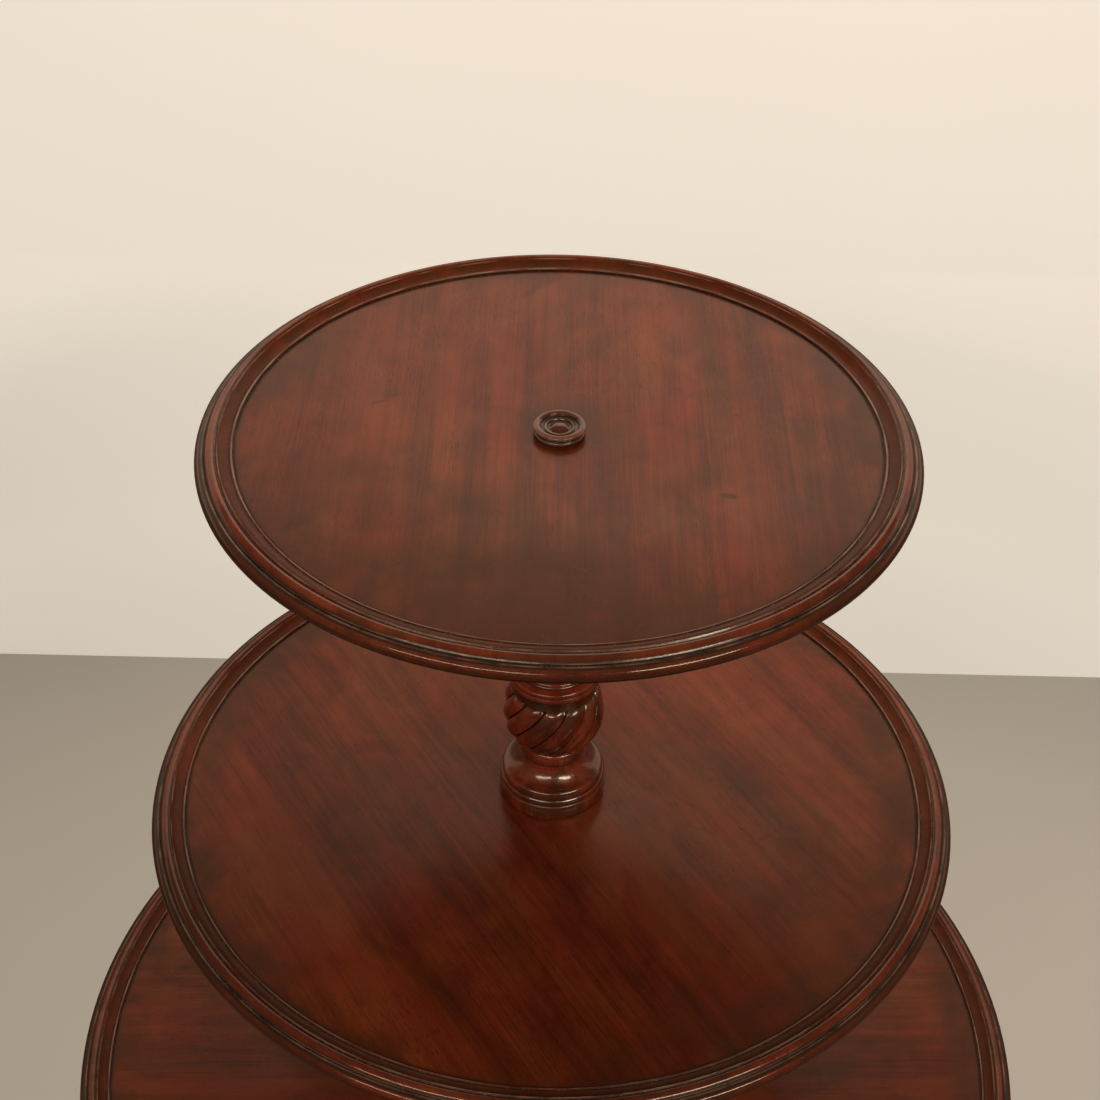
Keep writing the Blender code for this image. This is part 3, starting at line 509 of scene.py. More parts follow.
def flowing(points, steps=4):
    """A smooth run through the points."""
    points = [Vector(point) for point in points]
    ends = [2 * points[0] - points[1], *points, 2 * points[-1] - points[-2]]
    run = []
    for a, b, c, d in zip(ends, ends[1:], ends[2:], ends[3:]):
        slope, bend, twist = c - a, 2 * a - 5 * b + 4 * c - d, 3 * b - a - 3 * c + d
        for step in range(steps):
            t = step / steps
            run.append(0.5 * (2 * b + slope * t + bend * t**2 + twist * t**3))
    run.append(points[-1])
    return [tuple(point) for point in run]


def eased(outline, ease=EASE):
    """The outline with each sharp corner rounded, and a point beside it that keeps flat faces flat."""
    points = [Vector(point) for point in outline]
    run = [outline[0]]
    for before, corner, after in zip(points, points[1:], points[2:]):
        back, on = before - corner, after - corner
        if back.length < WELD or on.length < WELD:
            continue
        if back.angle(-on) < SLIGHT_BEND:
            run.append(tuple(corner))
            continue
        short = min(ease, EASED_SHARE * back.length, EASED_SHARE * on.length)
        first, last = corner + back.normalized() * short, corner + on.normalized() * short
        if back.length > LONG_SIDE * short:
            run.append(tuple(corner + back.normalized() * short * FURTHER_ON))
        for t in EASED_POINTS:
            run.append(tuple(first * (1 - t) ** 2 + corner * 2 * t * (1 - t) + last * t**2))
        if on.length > LONG_SIDE * short:
            run.append(tuple(corner + on.normalized() * short * FURTHER_ON))
    run.append(outline[-1])
    return run


def read_out(data, key, width=1, kind=np.float64):
    """One value for each item, or one row of values, as an array."""
    values = np.zeros(len(data) * width, kind)
    data.foreach_get(key, values)
    return values.reshape(-1, width) if width > 1 else values


def mark_relief(made):
    """Stores how hollow and how edged the surface is at each vertex, for grime and wear."""
    mesh = made.data
    places, normals = read_out(mesh.vertices, "co", 3), read_out(mesh.vertices, "normal", 3)
    one, other = read_out(mesh.edges, "vertices", 2, np.int64).T
    count = len(places)
    relief, weight = np.zeros(count), np.zeros(count)
    for here, there in ((one, other), (other, one)):
        step = places[there] - places[here]
        far = np.maximum(np.einsum("ij,ij->i", step, step), NEAREST_SQUARED)
        np.add.at(relief, here, np.einsum("ij,ij->i", step, normals[here]) / far)
        np.add.at(weight, here, 1.0)
    relief /= np.maximum(weight, 1.0)
    for _ in range(2):
        total, share = relief * 2.0 / POINT_REACH, np.full(count, 2.0 / POINT_REACH)
        for here, there in ((one, other), (other, one)):
            near = 1.0 / np.maximum(np.linalg.norm(places[there] - places[here], axis=1), NEAREST)
            np.add.at(total, here, relief[there] * near)
            np.add.at(share, here, near)
        relief = total / share
    # The carving's ground darkens as a hollow: dirt, and painted shade under the collar.
    ground = mesh.attributes.get("ground")
    if ground:
        relief = np.maximum(relief, read_out(ground.data, "value") * GROUND_HOLLOW / BEND_SCALE)
        mesh.attributes.remove(ground)
    for name, values in (("hollow", relief), ("edge", -relief)):
        attribute = mesh.attributes.new(name, "FLOAT", "POINT")
        attribute.data.foreach_set("value", np.clip(values * BEND_SCALE, 0.0, 1.0).astype(np.float32))


# Materials.


def fill(tree, made, inputs):
    """Links or sets a node's inputs, from sockets or plain values."""
    for key, value in inputs.items():
        if isinstance(value, bpy.types.NodeSocket):
            tree.links.new(value, made.inputs[key])
        else:
            made.inputs[key].default_value = value


def node(tree, kind, inputs=None, **values):
    """A shader node with its values and its inputs."""
    made = tree.nodes.new(f"ShaderNode{kind}")
    for key, value in values.items():
        setattr(made, key, value)
    fill(tree, made, inputs or {})
    return made


def reckon(tree, operation, first, second=0.5, clamp=False):
    """A sum, a difference or the like of two values."""
    return node(tree, "Math", {0: first, 1: second}, operation=operation, use_clamp=clamp).outputs[0]


def times(tree, first, second):
    """Two values multiplied."""
    return reckon(tree, "MULTIPLY", first, second)


def weighted(tree, *pairs):
    """The sum of each value times its weight."""
    total = times(tree, *pairs[0])
    for value, weight in pairs[1:]:
        total = node(tree, "Math", {0: value, 1: weight, 2: total}, operation="MULTIPLY_ADD").outputs[0]
    return total


def blend(tree, factor, first, second):
    """Mixes two colours by a factor."""
    return node(tree, "Mix", {0: factor, 6: first, 7: second}, data_type="RGBA").outputs[2]


def ranged(tree, value, low, high, bottom=0.0, top=1.0):
    """A value brought from one range to another, without passing its ends."""
    inputs = {"Value": value, "From Min": low, "From Max": high, "To Min": bottom, "To Max": top}
    return node(tree, "MapRange", inputs, interpolation_type="SMOOTHSTEP").outputs[0]


def clouds(tree, vector, scale, detail=3.0, rough=0.5, bend=0.0):
    """Soft random patches, from nought to one."""
    inputs = {"Vector": vector, "Scale": scale, "Detail": detail, "Roughness": rough, "Distortion": bend}
    return node(tree, "TexNoise", inputs).outputs["Fac"]


def new_group(name, inputs, outputs):
    """A shader node group with named sockets, and its two end nodes."""
    tree = bpy.data.node_groups.new(name, "ShaderNodeTree")
    for socket, kind, default in inputs:
        made = tree.interface.new_socket(socket, in_out="INPUT", socket_type=f"NodeSocket{kind}")
        if default is not None:
            made.default_value = default
    for socket, kind in outputs:
        tree.interface.new_socket(socket, in_out="OUTPUT", socket_type=f"NodeSocket{kind}")
    return tree, tree.nodes.new("NodeGroupInput").outputs, tree.nodes.new("NodeGroupOutput")


def grain_group():
    """Mahogany grain that runs along X of its vector: figure, streaks, stains, open pores and their height."""
    tree, given, result = new_group(
        "mahogany_grain",
        (
            ("Vector", "Vector", None), ("Light", "Color", None), ("Dark", "Color", None),
            ("Stain", "Color", None), ("Contrast", "Float", 1.0), ("Stains", "Float", 0.45),
        ),
        (("Color", "Color"), ("Height", "Float")),
    )

    def layer(scale, *values):
        along = node(tree, "Mapping", {"Vector": given["Vector"], "Scale": scale}).outputs[0]
        return clouds(tree, along, 1.0, *values)

    figure = layer((1.6, 16.0, 16.0), 4.0, 0.55, 0.6)
    bands = layer((4.0, 110.0, 110.0), 3.0, 0.6, 0.3)
    mottle = layer((28.0, 42.0, 42.0), 3.0, 0.6, 0.6)
    streaks = layer((14.0, 800.0, 800.0), 2.0, 0.6)
    pores = layer((150.0, 2200.0, 2200.0), 1.0, 0.4)
    clusters = layer((14.0, 34.0, 34.0), 3.0, 0.6, 0.5)
    stains = layer((9.0, 14.0, 14.0), 5.0, 0.62, 0.4)
    zones = layer((12.0, 26.0, 26.0), 4.0, 0.6, 0.6)
    tone = weighted(tree, (figure, 0.42), (bands, 0.26), (mottle, 0.24), (streaks, 0.18))
    tone = reckon(tree, "SUBTRACT", tone, 0.55)
    tone = times(tree, tone, times(tree, given["Contrast"], 3.6))
    shade = blend(tree, reckon(tree, "ADD", tone, 0.5, True), given["Dark"], given["Light"])
    hue = ranged(tree, zones, 0.35, 0.65, 0.4965, 0.5065)
    shade = node(tree, "HueSaturation", {"Hue": hue, "Color": shade}).outputs[0]
    stained = times(tree, ranged(tree, stains, 0.46, 0.72), given["Stains"])
    shade = blend(tree, stained, shade, given["Stain"])
    crowded = ranged(tree, clusters, 0.42, 0.6, 0.2, 1.0)
    open_pore = times(tree, ranged(tree, pores, 0.58, 0.7), crowded)
    shade = blend(tree, times(tree, open_pore, 0.6), shade, (0.016, 0.006, 0.003, 1.0))
    fill(tree, result, {"Color": shade, "Height": reckon(tree, "SUBTRACT", streaks, open_pore)})


def age_group():
    """Film, grime and dried wax in the hollows and over the extra grime and painted shade it is given; wear
    along the edges, dust and handling marks in the polish.
    """
    tree, given, result = new_group(
        "polish_age",
        (
            ("Color", "Color", None), ("Vector", "Vector", None), ("Grime", "Color", None),
            ("Film", "Color", None), ("Wax", "Color", None), ("Wear Color", "Color", None),
            ("Extra Grime And Shade", "Float", 0.0), ("Wear", "Float", 0.5), ("Low Roughness", "Float", 0.2),
            ("High Roughness", "Float", 0.4),
        ),
        (("Color", "Color"), ("Roughness", "Float"), ("Height", "Float")),
    )
    vector = given["Vector"]
    hollow, edge = (node(tree, "Attribute", attribute_name=name).outputs["Fac"] for name in ("hollow", "edge"))
    patches = clouds(tree, vector, 45.0, 4.0, 0.6)
    specks = clouds(tree, vector, 900.0, 2.0, 0.6)
    smears = clouds(tree, vector, 9.0, 3.0, 0.5, 0.4)
    film = ranged(tree, weighted(tree, (hollow, 1.8), (given["Extra Grime And Shade"], 1.0)), 0.05, 0.6)
    film = times(tree, film, ranged(tree, patches, 0.3, 0.62, 0.5, 0.9))
    aged = blend(tree, film, given["Color"], given["Film"])
    deep = times(tree, hollow, ranged(tree, patches, 0.25, 0.6, 0.8, 1.4))
    deep = ranged(tree, weighted(tree, (deep, 1.0), (given["Extra Grime And Shade"], 0.3)), 0.35, 1.2, 0.0, 0.85)
    aged = blend(tree, deep, aged, given["Grime"])
    wax = times(tree, ranged(tree, hollow, 0.75, 1.0), ranged(tree, specks, 0.56, 0.66))
    dust = ranged(tree, specks, 0.77, 0.82)
    aged = blend(tree, weighted(tree, (wax, 0.5), (dust, 0.4)), aged, given["Wax"])
    worn = times(tree, ranged(tree, edge, 0.15, 0.8), ranged(tree, patches, 0.35, 0.65))
    worn = times(tree, worn, given["Wear"])
    aged = blend(tree, worn, aged, given["Wear Color"])
    rough = node(tree, "MapRange", {
        "Value": weighted(tree, (smears, 1.0), (patches, 0.5)), "From Min": 0.5, "From Max": 1.0,
        "To Min": given["Low Roughness"], "To Max": given["High Roughness"],
    }).outputs[0]
    fill(tree, result, {
        "Color": aged, "Height": weighted(tree, (patches, 1.0), (wax, -0.5)),
        "Roughness": reckon(tree, "ADD", rough, weighted(tree, (film, 0.06), (deep, 0.25)), True),
    })


def new_material(name):
    """A new material's node tree and its shader."""
    made = bpy.data.materials.new(name)
    made.use_nodes = True
    return made.node_tree, made.node_tree.nodes["Principled BSDF"]


def tint(value):
    """A colour as a socket takes it."""
    return (*value, 1.0)


def round_place(tree, place):
    """A point's place in plan, its distance from Z, its height, and how far it lies to either side (0 to 1)."""
    flat = node(tree, "VectorMath", {0: place, 1: (1.0, 1.0, 0.0)}, operation="MULTIPLY").outputs[0]
    out = node(tree, "VectorMath", {0: flat}, operation="LENGTH").outputs["Value"]
    parts = node(tree, "SeparateXYZ", {0: place}).outputs
    beside = reckon(tree, "DIVIDE", reckon(tree, "ABSOLUTE", parts["X"]), out)
    return flat, out, parts["Z"], ranged(tree, beside, 0.3, 0.95)


def band(tree, value, low, high, soft, depth):
    """A depth between two values and nought outside them, with soft ends."""
    rise = ranged(tree, value, low - soft, low + soft, 0.0, depth)
    return times(tree, rise, ranged(tree, value, high - soft, high + soft, 1.0, 0.0))


def field_grime_and_shade(tree, place, tier):
    """Where a tray's field is darker, in metres: dirt along the rim, heavier at the left and right; dirt round
    the button and painted shadow round the column's foot; its own marks, some of them painted shade.
    """
    flat, out, _, beside = round_place(tree, place)
    radius = RADII[tier]
    broad = clouds(tree, place, 13.0, 4.0, 0.55, 0.5)
    ring = ranged(tree, out, radius - 0.06, radius - 0.0215, 0.0, 0.62)
    ring = times(tree, ring, ranged(tree, broad, 0.36, 0.62, 0.25, 1.0))
    ring = times(tree, ring, ranged(tree, beside, 0.0, 1.0, 0.7, 1.25))
    ring = reckon(tree, "ADD", ring, ranged(tree, out, radius - 0.0265, radius - 0.0213, 0.0, 0.3))
    # Round the middle: dirt round the button, and a painted shadow round the column's foot.
    middle = ranged(tree, out, 0.014, 0.045, 0.42, 0.0)
    middle = times(tree, middle, ranged(tree, broad, 0.3, 0.6, 0.5, 1.0))
    grime = reckon(tree, "ADD", ring, middle)
    ragged = clouds(tree, place, 260.0, 3.0, 0.6)
    # The marks: knots, pits and stains, and broad patches of painted shade on the middle tray's front and right
    # and on the top tray's near part.
    for x, y, length, width, turn, depth in TRAY_MARKS[tier]:
        spot = node(tree, "Mapping", {
            "Vector": flat, "Location": (x * MILLIMETRE, y * MILLIMETRE, 0.0),
            "Rotation": (0.0, 0.0, math.radians(turn)), "Scale": (length * MILLIMETRE, width * MILLIMETRE, 1.0),
        }, vector_type="TEXTURE").outputs[0]
        away = node(tree, "VectorMath", {0: spot}, operation="LENGTH").outputs["Value"]
        away = weighted(tree, (away, 1.0), (ragged, 0.8 if length < LARGE_MARK else 0.15))
        grime = reckon(tree, "ADD", grime, ranged(tree, away, 0.6, 1.3, depth, 0.0))
    return grime


def rim_grime_and_shade(tree, place, tier):
    """Where a rim is darker, in metres: dirt in the cove and in patches and specks; dirt and painted shade
    between bead and torus; painted shade under the torus and at the left and right.
    """
    _, out, height, beside = round_place(tree, place)
    edge, level = RADII[tier], LEVELS[tier]
    ragged = clouds(tree, place, 300.0, 3.0, 0.6)
    cove = band(tree, out, edge - 0.0196, edge - 0.0131, 0.0008, 0.5)
    # Dirt and painted shade: a dark band from the bead's outer side over the top of the torus.
    quirk_grime_and_shade = band(tree, out, edge - 0.0060, edge - 0.0026, 0.0004, 3.6)
    quirk_grime_and_shade = times(tree, quirk_grime_and_shade, ranged(tree, ragged, 0.35, 0.6, 0.65, 1.1))
    # Painted shade: the torus's underside, below the field, made darker.
    low = ranged(tree, height, level - 0.0048, level - 0.0014, 2.6, 0.0)
    # Painted shade: the torus made darker at the left and right.
    side = times(tree, beside, ranged(tree, out, edge - 0.0075, edge - 0.0045, 0.05, 0.7))
    patches = ranged(tree, clouds(tree, place, 16.0, 4.0, 0.6), 0.48, 0.66, 0.0, 0.4)
    specks = ranged(tree, ragged, 0.6, 0.7, 0.0, 0.35)
    return weighted(tree, *((layer, 1.0) for layer in (cove, quirk_grime_and_shade, low, side, patches, specks)))


def column_grime(tree, place):
    """Where dirt lies on the turned wood: in broad patches."""
    return ranged(tree, clouds(tree, place, 38.0, 4.0, 0.6), 0.42, 0.62, 0.0, 0.5)


def button_darkening(tree, place):
    """Where the button is darker: dirt in its dish, darker round its foot where it meets the field, and a
    little darker all over.
    """
    _, out, height, _ = round_place(tree, place)
    level = LEVELS["top"]
    dish = band(tree, out, 0.002, 0.0112, 0.0007, 1.3)
    foot = ranged(tree, height, level + 0.0016, level + 0.0034, 2.6, 0.0)
    return weighted(tree, (dish, 1.0), (foot, 1.0), (0.14, 1.0))


def ageing(tree, shade, place, wear, roughness, film, wax, worn):
    """The age of a surface, over its own colour."""
    return node(tree, "Group", {
        "Color": shade, "Vector": place, "Grime": tint(settings("finishes").grime), "Film": tint(film),
        "Wax": tint(wax), "Wear Color": tint(worn), "Wear": wear,
        "Low Roughness": roughness[0], "High Roughness": roughness[1],
    }, node_tree=bpy.data.node_groups["polish_age"])


def surface(tree, shader, age, height, strength, distance, values):
    """Gives the shader its aged colour and roughness, its fine relief and its other values."""
    bump = node(tree, "Bump", {"Height": height, "Strength": strength, "Distance": distance})
    fill(tree, shader, {
        "Base Color": age.outputs["Color"], "Roughness": age.outputs["Roughness"],
        "Normal": bump.outputs["Normal"], **values,
    })


def mahogany(name, light, dark, turn=(0.0, 0.0, 0.0), shift=(0.0, 0.0, 0.0), dirt_and_shade=None, polish=(0.16, 0.27),
             contrast=1.0, stains=0.45, wear=0.5, gloss=0.25, coat=0.0):
    """Mahogany whose grain runs along the turned X axis, darkened by dirt_and_shade: dirt, and on the trays
    painted shade as well.
    """
    colours = settings("finishes")
    tree, shader = new_material(name)
    place = node(tree, "TexCoord").outputs["Object"]
    grain = node(tree, "Group", {
        "Vector": node(tree, "Mapping", {"Vector": place, "Rotation": turn, "Location": shift}).outputs[0],
        "Light": tint(light), "Dark": tint(dark), "Stain": tint(colours.film), "Contrast": contrast,
        "Stains": stains,
    }, node_tree=bpy.data.node_groups["mahogany_grain"])
    age = ageing(tree, grain.outputs["Color"], place, wear, polish, colours.film, colours.wax, colours.worn)
    if dirt_and_shade is not None:
        tree.links.new(dirt_and_shade(tree, place), age.inputs["Extra Grime And Shade"])
    relief = reckon(tree, "ADD", grain.outputs["Height"], age.outputs["Height"])
    surface(tree, shader, age, relief, 0.12, 0.0003, {
        "Specular IOR Level": gloss, "Specular Tint": tint(colours.varnish), "Coat Weight": coat,
        "Coat Roughness": polish[0] * 0.75,
    })


def metal(name, clean, dull, roughness, wear):
    """Old metal: clean along its edges, dull in its hollows and in patches."""
    tree, shader = new_material(name)
    place = node(tree, "TexCoord").outputs["Object"]
    patches = clouds(tree, place, 160.0, 4.0, 0.6, 0.3)
    shade = blend(tree, ranged(tree, patches, 0.35, 0.68), tint(clean), tint(dull))
    rubbed = [min(1.0, 1.25 * channel) for channel in clean]
    age = ageing(tree, shade, place, wear, roughness, dull, dull, rubbed)
    surface(tree, shader, age, clouds(tree, place, 1400.0, 2.0, 0.6), 0.2, 0.0002, {"Metallic": 1.0})


def give(made, *names):
    """Puts these materials in the piece's slots."""
    made.data.materials.clear()
    for name in names:
        made.data.materials.append(bpy.data.materials[name])


def finished(made, *names):
    """Marks the hollows and edges, smooths the piece and gives it its materials."""
    mark_relief(made)
    smooth(made)
    give(made, *names)


# Pieces.


def bore_radius(play):
    """Radius in millimetres of a hole that turns on a spigot."""
    return (settings("column").spigot + SEAT_GAP) / MILLIMETRE + play


def seat_depth():
    """From a tray's field down to the shoulder under its washer, in metres."""
    trays = settings("trays")
    return trays.board + trays.hub_thickness + trays.washer_thickness + 3.0 * SEAT_GAP


def settle(made, level, finish, *place):
    """Raises a turned piece to its level, finishes it and places it."""
    raised(made, level)
    finished(made, finish)
    placed(made, *place)


def rim_outline(radius):
    """The fine section of a tray's rim, from the field's edge out and round to the underside."""
    torus = settings("trays").torus / MILLIMETRE

    def inwards(points):
        return [(radius - inset, height) for inset, height in points]

    return [
        (radius - RIM_START, 0.0),
        *arc((radius - 20.6, 1.0), 0.8, 180.0, -150.0, 6),
        *flowing(inwards(COVE)),
        *inwards(RIM_GROOVE),
        *flowing(inwards(RIM_BEAD)),
        *inwards(RIM_QUIRK),
        *arc((radius - torus, -3.2), torus, 96.0, -180.0, 24),
        *inwards(RIM_UNDERSIDE),
    ]


def tray_piece(tier):
    """A dished tray with its moulded rim, in polish above and bare below."""
    trays = settings("trays")
    bore, radius, thickness = bore_radius(TRAY_BORE_PLAY), RADII[tier] / MILLIMETRE, trays.board / MILLIMETRE
    field = [(ring, 0.0) for ring in (*FIELD_RINGS, *(radius - inset for inset in FIELD_INSETS))]
    outline = [(bore, -thickness), (bore, 0.0), *field, *rim_outline(radius), (bore, -thickness)]
    made = turned(f"{tier}_tray_board", eased(outline)[:-1], trays.steps)
    raised(made, LEVELS[tier])
    finished(made, f"{tier}_tray_polish", f"{tier}_rim_polish", "bare_wood", f"{tier}_cove_polish")
    for face in made.data.polygons:
        inset = RADII[tier] - face.center.xy.length
        if face.normal.z < -0.9 and inset > BARE_INSET:
            face.material_index = 2
        elif COVE_INSETS[0] < inset < COVE_INSETS[1]:
            face.material_index = 3
        elif inset < RIM_INSET:
            face.material_index = 1
    placed(made, f"{tier}_tray", "tray_mahogany", f"{tier}_tray")


def hub_piece(tier):
    """The turned block under a tray, with its four screws."""
    trays = settings("trays")
    bore, radius = bore_radius(HUB_BORE_PLAY), trays.hub_radius / MILLIMETRE
    top = -(trays.board + SEAT_GAP) / MILLIMETRE
    bottom = top - trays.hub_thickness / MILLIMETRE
    outline = [(bore, bottom), (bore, top), (radius, top), (radius, top - 2.6), (radius - 0.9, top - 3.4)]
    outline += [*arc((radius - 5.0, bottom + 4.2), 4.2, 0.0, -90.0, 8), (bore, bottom)]
    made = turned(f"{tier}_tray_turned_hub", eased(outline)[:-1], 96)
    settle(made, LEVELS[tier], "hub_stain", f"{tier}_tray", "hub_mahogany", f"{tier}_tray_hub")
    level = LEVELS[tier] + (bottom - 0.1) * MILLIMETRE
    spots = [(HUB_SCREWS_OUT, math.radians(45.0 + 90.0 * number)) for number in range(4)]
    screws(f"{tier}_tray_hub_screws", spots, level, HUB_SCREW, f"{tier}_tray", "iron")


def washer_piece(tier):
    """The brass washer that a tray turns on."""
    trays = settings("trays")
    bore, radius = bore_radius(TRAY_BORE_PLAY), trays.washer_radius / MILLIMETRE
    top = -(trays.board + trays.hub_thickness + 2.0 * SEAT_GAP) / MILLIMETRE
    bottom = top - trays.washer_thickness / MILLIMETRE
    outline = [(bore, bottom), (bore, top), (radius, top), (radius, bottom), (bore, bottom)]
    made = turned(f"{tier}_bearing_brass_washer", eased(outline)[:-1], 72)
    settle(made, LEVELS[tier], "old_brass", "stand", "brass", f"{tier}_bearing_washer")


def screws(name, spots, level, radius, body, slot):
    """Slotted countersunk screws at these places, seen from below, as one piece."""
    outline = [(0.0, -0.35), (radius * 0.6, -0.22), (radius, 0.1), (radius * 0.5, 1.6), (0.0, 1.6)]
    head = turned("screw_head", outline, 28)
    made = []
    for number, (out, angle) in enumerate(spots):
        cut = plate("screw_slot", SLOT_OUTLINE, SLOT_DEPTH, -0.5, 0.0)
        turn = Matrix.Rotation(angle * 3.0 + number, 4, "Z")
        place = Matrix.Translation((out * math.cos(angle), out * math.sin(angle), level))
        one = copied(head, f"{name}_{number}", Matrix())
        combine(one, ("DIFFERENCE", cut))
        made.append(moved(one, place @ turn))
    bpy.data.objects.remove(head, do_unlink=True)
    piece = joined(made, name)
    finished(piece, f"old_{slot}")
    placed(piece, body, slot)


def stage_outline(base, shoulder, foot, vase, neck):
    """The turned section of one column stage, in millimetres, from its foot up to its shoulder."""

    def widened(points, width):
        return [(across * width, base + height) for across, height in points]

    def moulded(runs, width):
        outline = []
        for run in runs:
            outline += flowing(widened(run, width)) if len(run) > 1 else widened(run, width)
        return outline

    shaft_top = shoulder - CAP_HEIGHT
    bowed = neck + (COLLAR_COVE[-1][0] * vase - neck) * SHAFT_BOW
    middle = (bowed, (base + STAGE_TOP + shaft_top) / 2.0)
    cap = [(across / CAP_NECK * neck if across < CAP_SPREAD else across, shaft_top + up) for across, up in CAP]
    return [
        *moulded(FOOT_RUNS, foot),
        (18.7 * vase, base + 45.4),
        *flowing(widened(VASE, vase), 7),
        *moulded(COLLAR_RUNS, vase),
        *flowing([*widened(COLLAR_COVE, vase), middle, (neck, shaft_top)])[:-1],
        *flowing(cap),
    ]


def carve(made, base, vase):
    """Cuts the spiral lobes into the vase, and gathers the sides of the round at the grooves between them."""
    column = settings("column")
    count = column.lobes
    low, high = base + VASE_LEVEL * MILLIMETRE, base + LOBE_END * MILLIMETRE
    # The ground between the lobes' ends and the collar, marked to darken as a hollow: dirt, and painted shade
    # under the collar.
    ground_level = made.data.attributes.new("ground", "FLOAT", "POINT")
    for vertex in made.data.vertices:
        radius = vertex.co.xy.length
        if radius < WELD:
            continue
        share = math.atan2(vertex.co.y, vertex.co.x) / math.tau * count
        across = share - math.floor(share)
        across -= GATHER * math.sin(math.tau * across) / math.tau
        height = vertex.co.z
        along = min(max((height - low) / (high - low), 0.0), 1.0)
        angle = (math.floor(share) + across) * math.tau / count
        angle += column.start + column.twist * (1.0 - (1.0 - along) ** TWIST_POWER)
        if low < height < high + PAST_END:
            middle = abs(2.0 * across - 1.0)
            crown = 1.0 - middle**CROWN_POWER
            gap = (1.0 - middle) * math.pi * radius / count
            groove = max(0.0, 1.0 - gap / GROOVE_REACH) ** GROOVE_POWER
            lip = math.exp(-(((gap - LIP_PLACE) / LIP_WIDTH) ** 2))
            dome = max(0.0, 1.0 - (high - height) / DOME_LENGTH) ** 2 * DOME_DEPTH
            cut = dome + column.lobe_swell * (1.0 - crown) + column.groove_depth * groove - LIP_HEIGHT * lip
            end = high - END_ARCH * middle**END_POWER
            over = min(max((height - end) / END_SOFT + 0.5, 0.0), 1.0)
            ground = BAND_WIDTH * vase * MILLIMETRE
            lobe = radius - cut * min(1.0, along / FADE_IN)
            radius = lobe + (min(lobe, ground + (high - height) * END_SLOPE) - lobe) * over
            ground_level.data[vertex.index].value = over
        if high < height < base + PLAIN_TOP:
            ground_level.data[vertex.index].value = 1.0
        vertex.co = Vector((radius * math.cos(angle), radius * math.sin(angle), height))


def column_piece(name, solid, level, spacing, spigot_top, hole):
    """A column stage with its carved vase, its socket below and its spigot above. Heights in metres."""
    column = settings("column")
    shoulder = (spacing - seat_depth()) / MILLIMETRE
    spigot, neck = column.spigot / MILLIMETRE, column.neck / MILLIMETRE
    depth = (column.spigot_reach + SEAT_GAP) / MILLIMETRE
    top = spigot_top / MILLIMETRE
    socket = spigot + SOCKET_PLAY
    outline = [(0.0, depth), (socket, depth), (socket, TRAY_PLAY / MILLIMETRE)]
    outline += stage_outline(0.0, shoulder, 1.0, 1.0, neck)
    outline += [(spigot, shoulder), (spigot, top - SPIGOT_CHAMFER), (spigot - SPIGOT_CHAMFER, top)]
    end = top - TENON_DEPTH
    outline += [(TENON_HOLE, top), (TENON_HOLE, end), (0.0, end)] if hole else [(0.0, top)]
    made = turned(name, eased(outline), column.lobes * LOBE_STEPS)
    carve(made, 0.0, 1.0)
    settle(made, level, "column_polish", "stand", "turned_mahogany", solid)


def leg_angle(index):
    """The direction of a leg, from above."""
    return -math.pi / 2.0 + math.tau * index / LEG_COUNT


def tongue(name, margin):
    """The dovetail between a leg and the block, grown by a margin where it cuts the slot."""
    legs = settings("legs")
    block, bottom, top = (value / MILLIMETRE for value in (legs.block, legs.top - legs.depth, legs.top))
    root, outer = block - TONGUE_REACH - margin, block + TONGUE_REACH
    wide, narrow = TONGUE_WIDE + margin, TONGUE_NARROW + margin
    low = bottom - (SLOT_OVERRUN if margin else 0.0)
    half = [(root, wide), (block, narrow), (outer, narrow)]
    outline = [(x, -y) for x, y in half] + half[::-1]
    return plate(name, outline, top - TONGUE_DROP + margin - low, low, 0.0)


def pillar_piece():
    """The base pillar: the legs' block with its slots, a carved stage and a spigot."""
    column, legs = settings("column"), settings("legs")
    level = LEVELS["bottom"] / MILLIMETRE
    shoulder, block = level - seat_depth() / MILLIMETRE, legs.block / MILLIMETRE
    bottom, base = (legs.top - legs.depth) / MILLIMETRE, legs.top / MILLIMETRE + BLOCK_RISE
    spigot, top = column.spigot / MILLIMETRE, level + column.spigot_reach / MILLIMETRE
    foot, vase = PILLAR_WIDTH / FOOT_WIDTH, PILLAR_WIDTH / VASE_WIDTH
    outline = [(0.0, bottom), (block, bottom), (block, base), (PILLAR_WIDTH * BLOCK_TOP_SHARE, base)]
    outline += stage_outline(base, shoulder, foot, vase, column.pillar_neck / MILLIMETRE)
    outline += [(spigot, shoulder), (spigot, top - SPIGOT_CHAMFER), (spigot - SPIGOT_CHAMFER, top), (0.0, top)]
    made = turned("carved_base_pillar", eased(outline), column.lobes * LOBE_STEPS)
    carve(made, base * MILLIMETRE, vase)
    slots = []
    for index in range(LEG_COUNT):
        cut = moved(tongue(f"slot_{index}", SLOT_PLAY), Matrix.Rotation(leg_angle(index), 4, "Z"))
        slots.append(("DIFFERENCE", cut))
    combine(made, *slots)
    finished(made, "column_polish")
    placed(made, "stand", "turned_mahogany", "base_pillar")


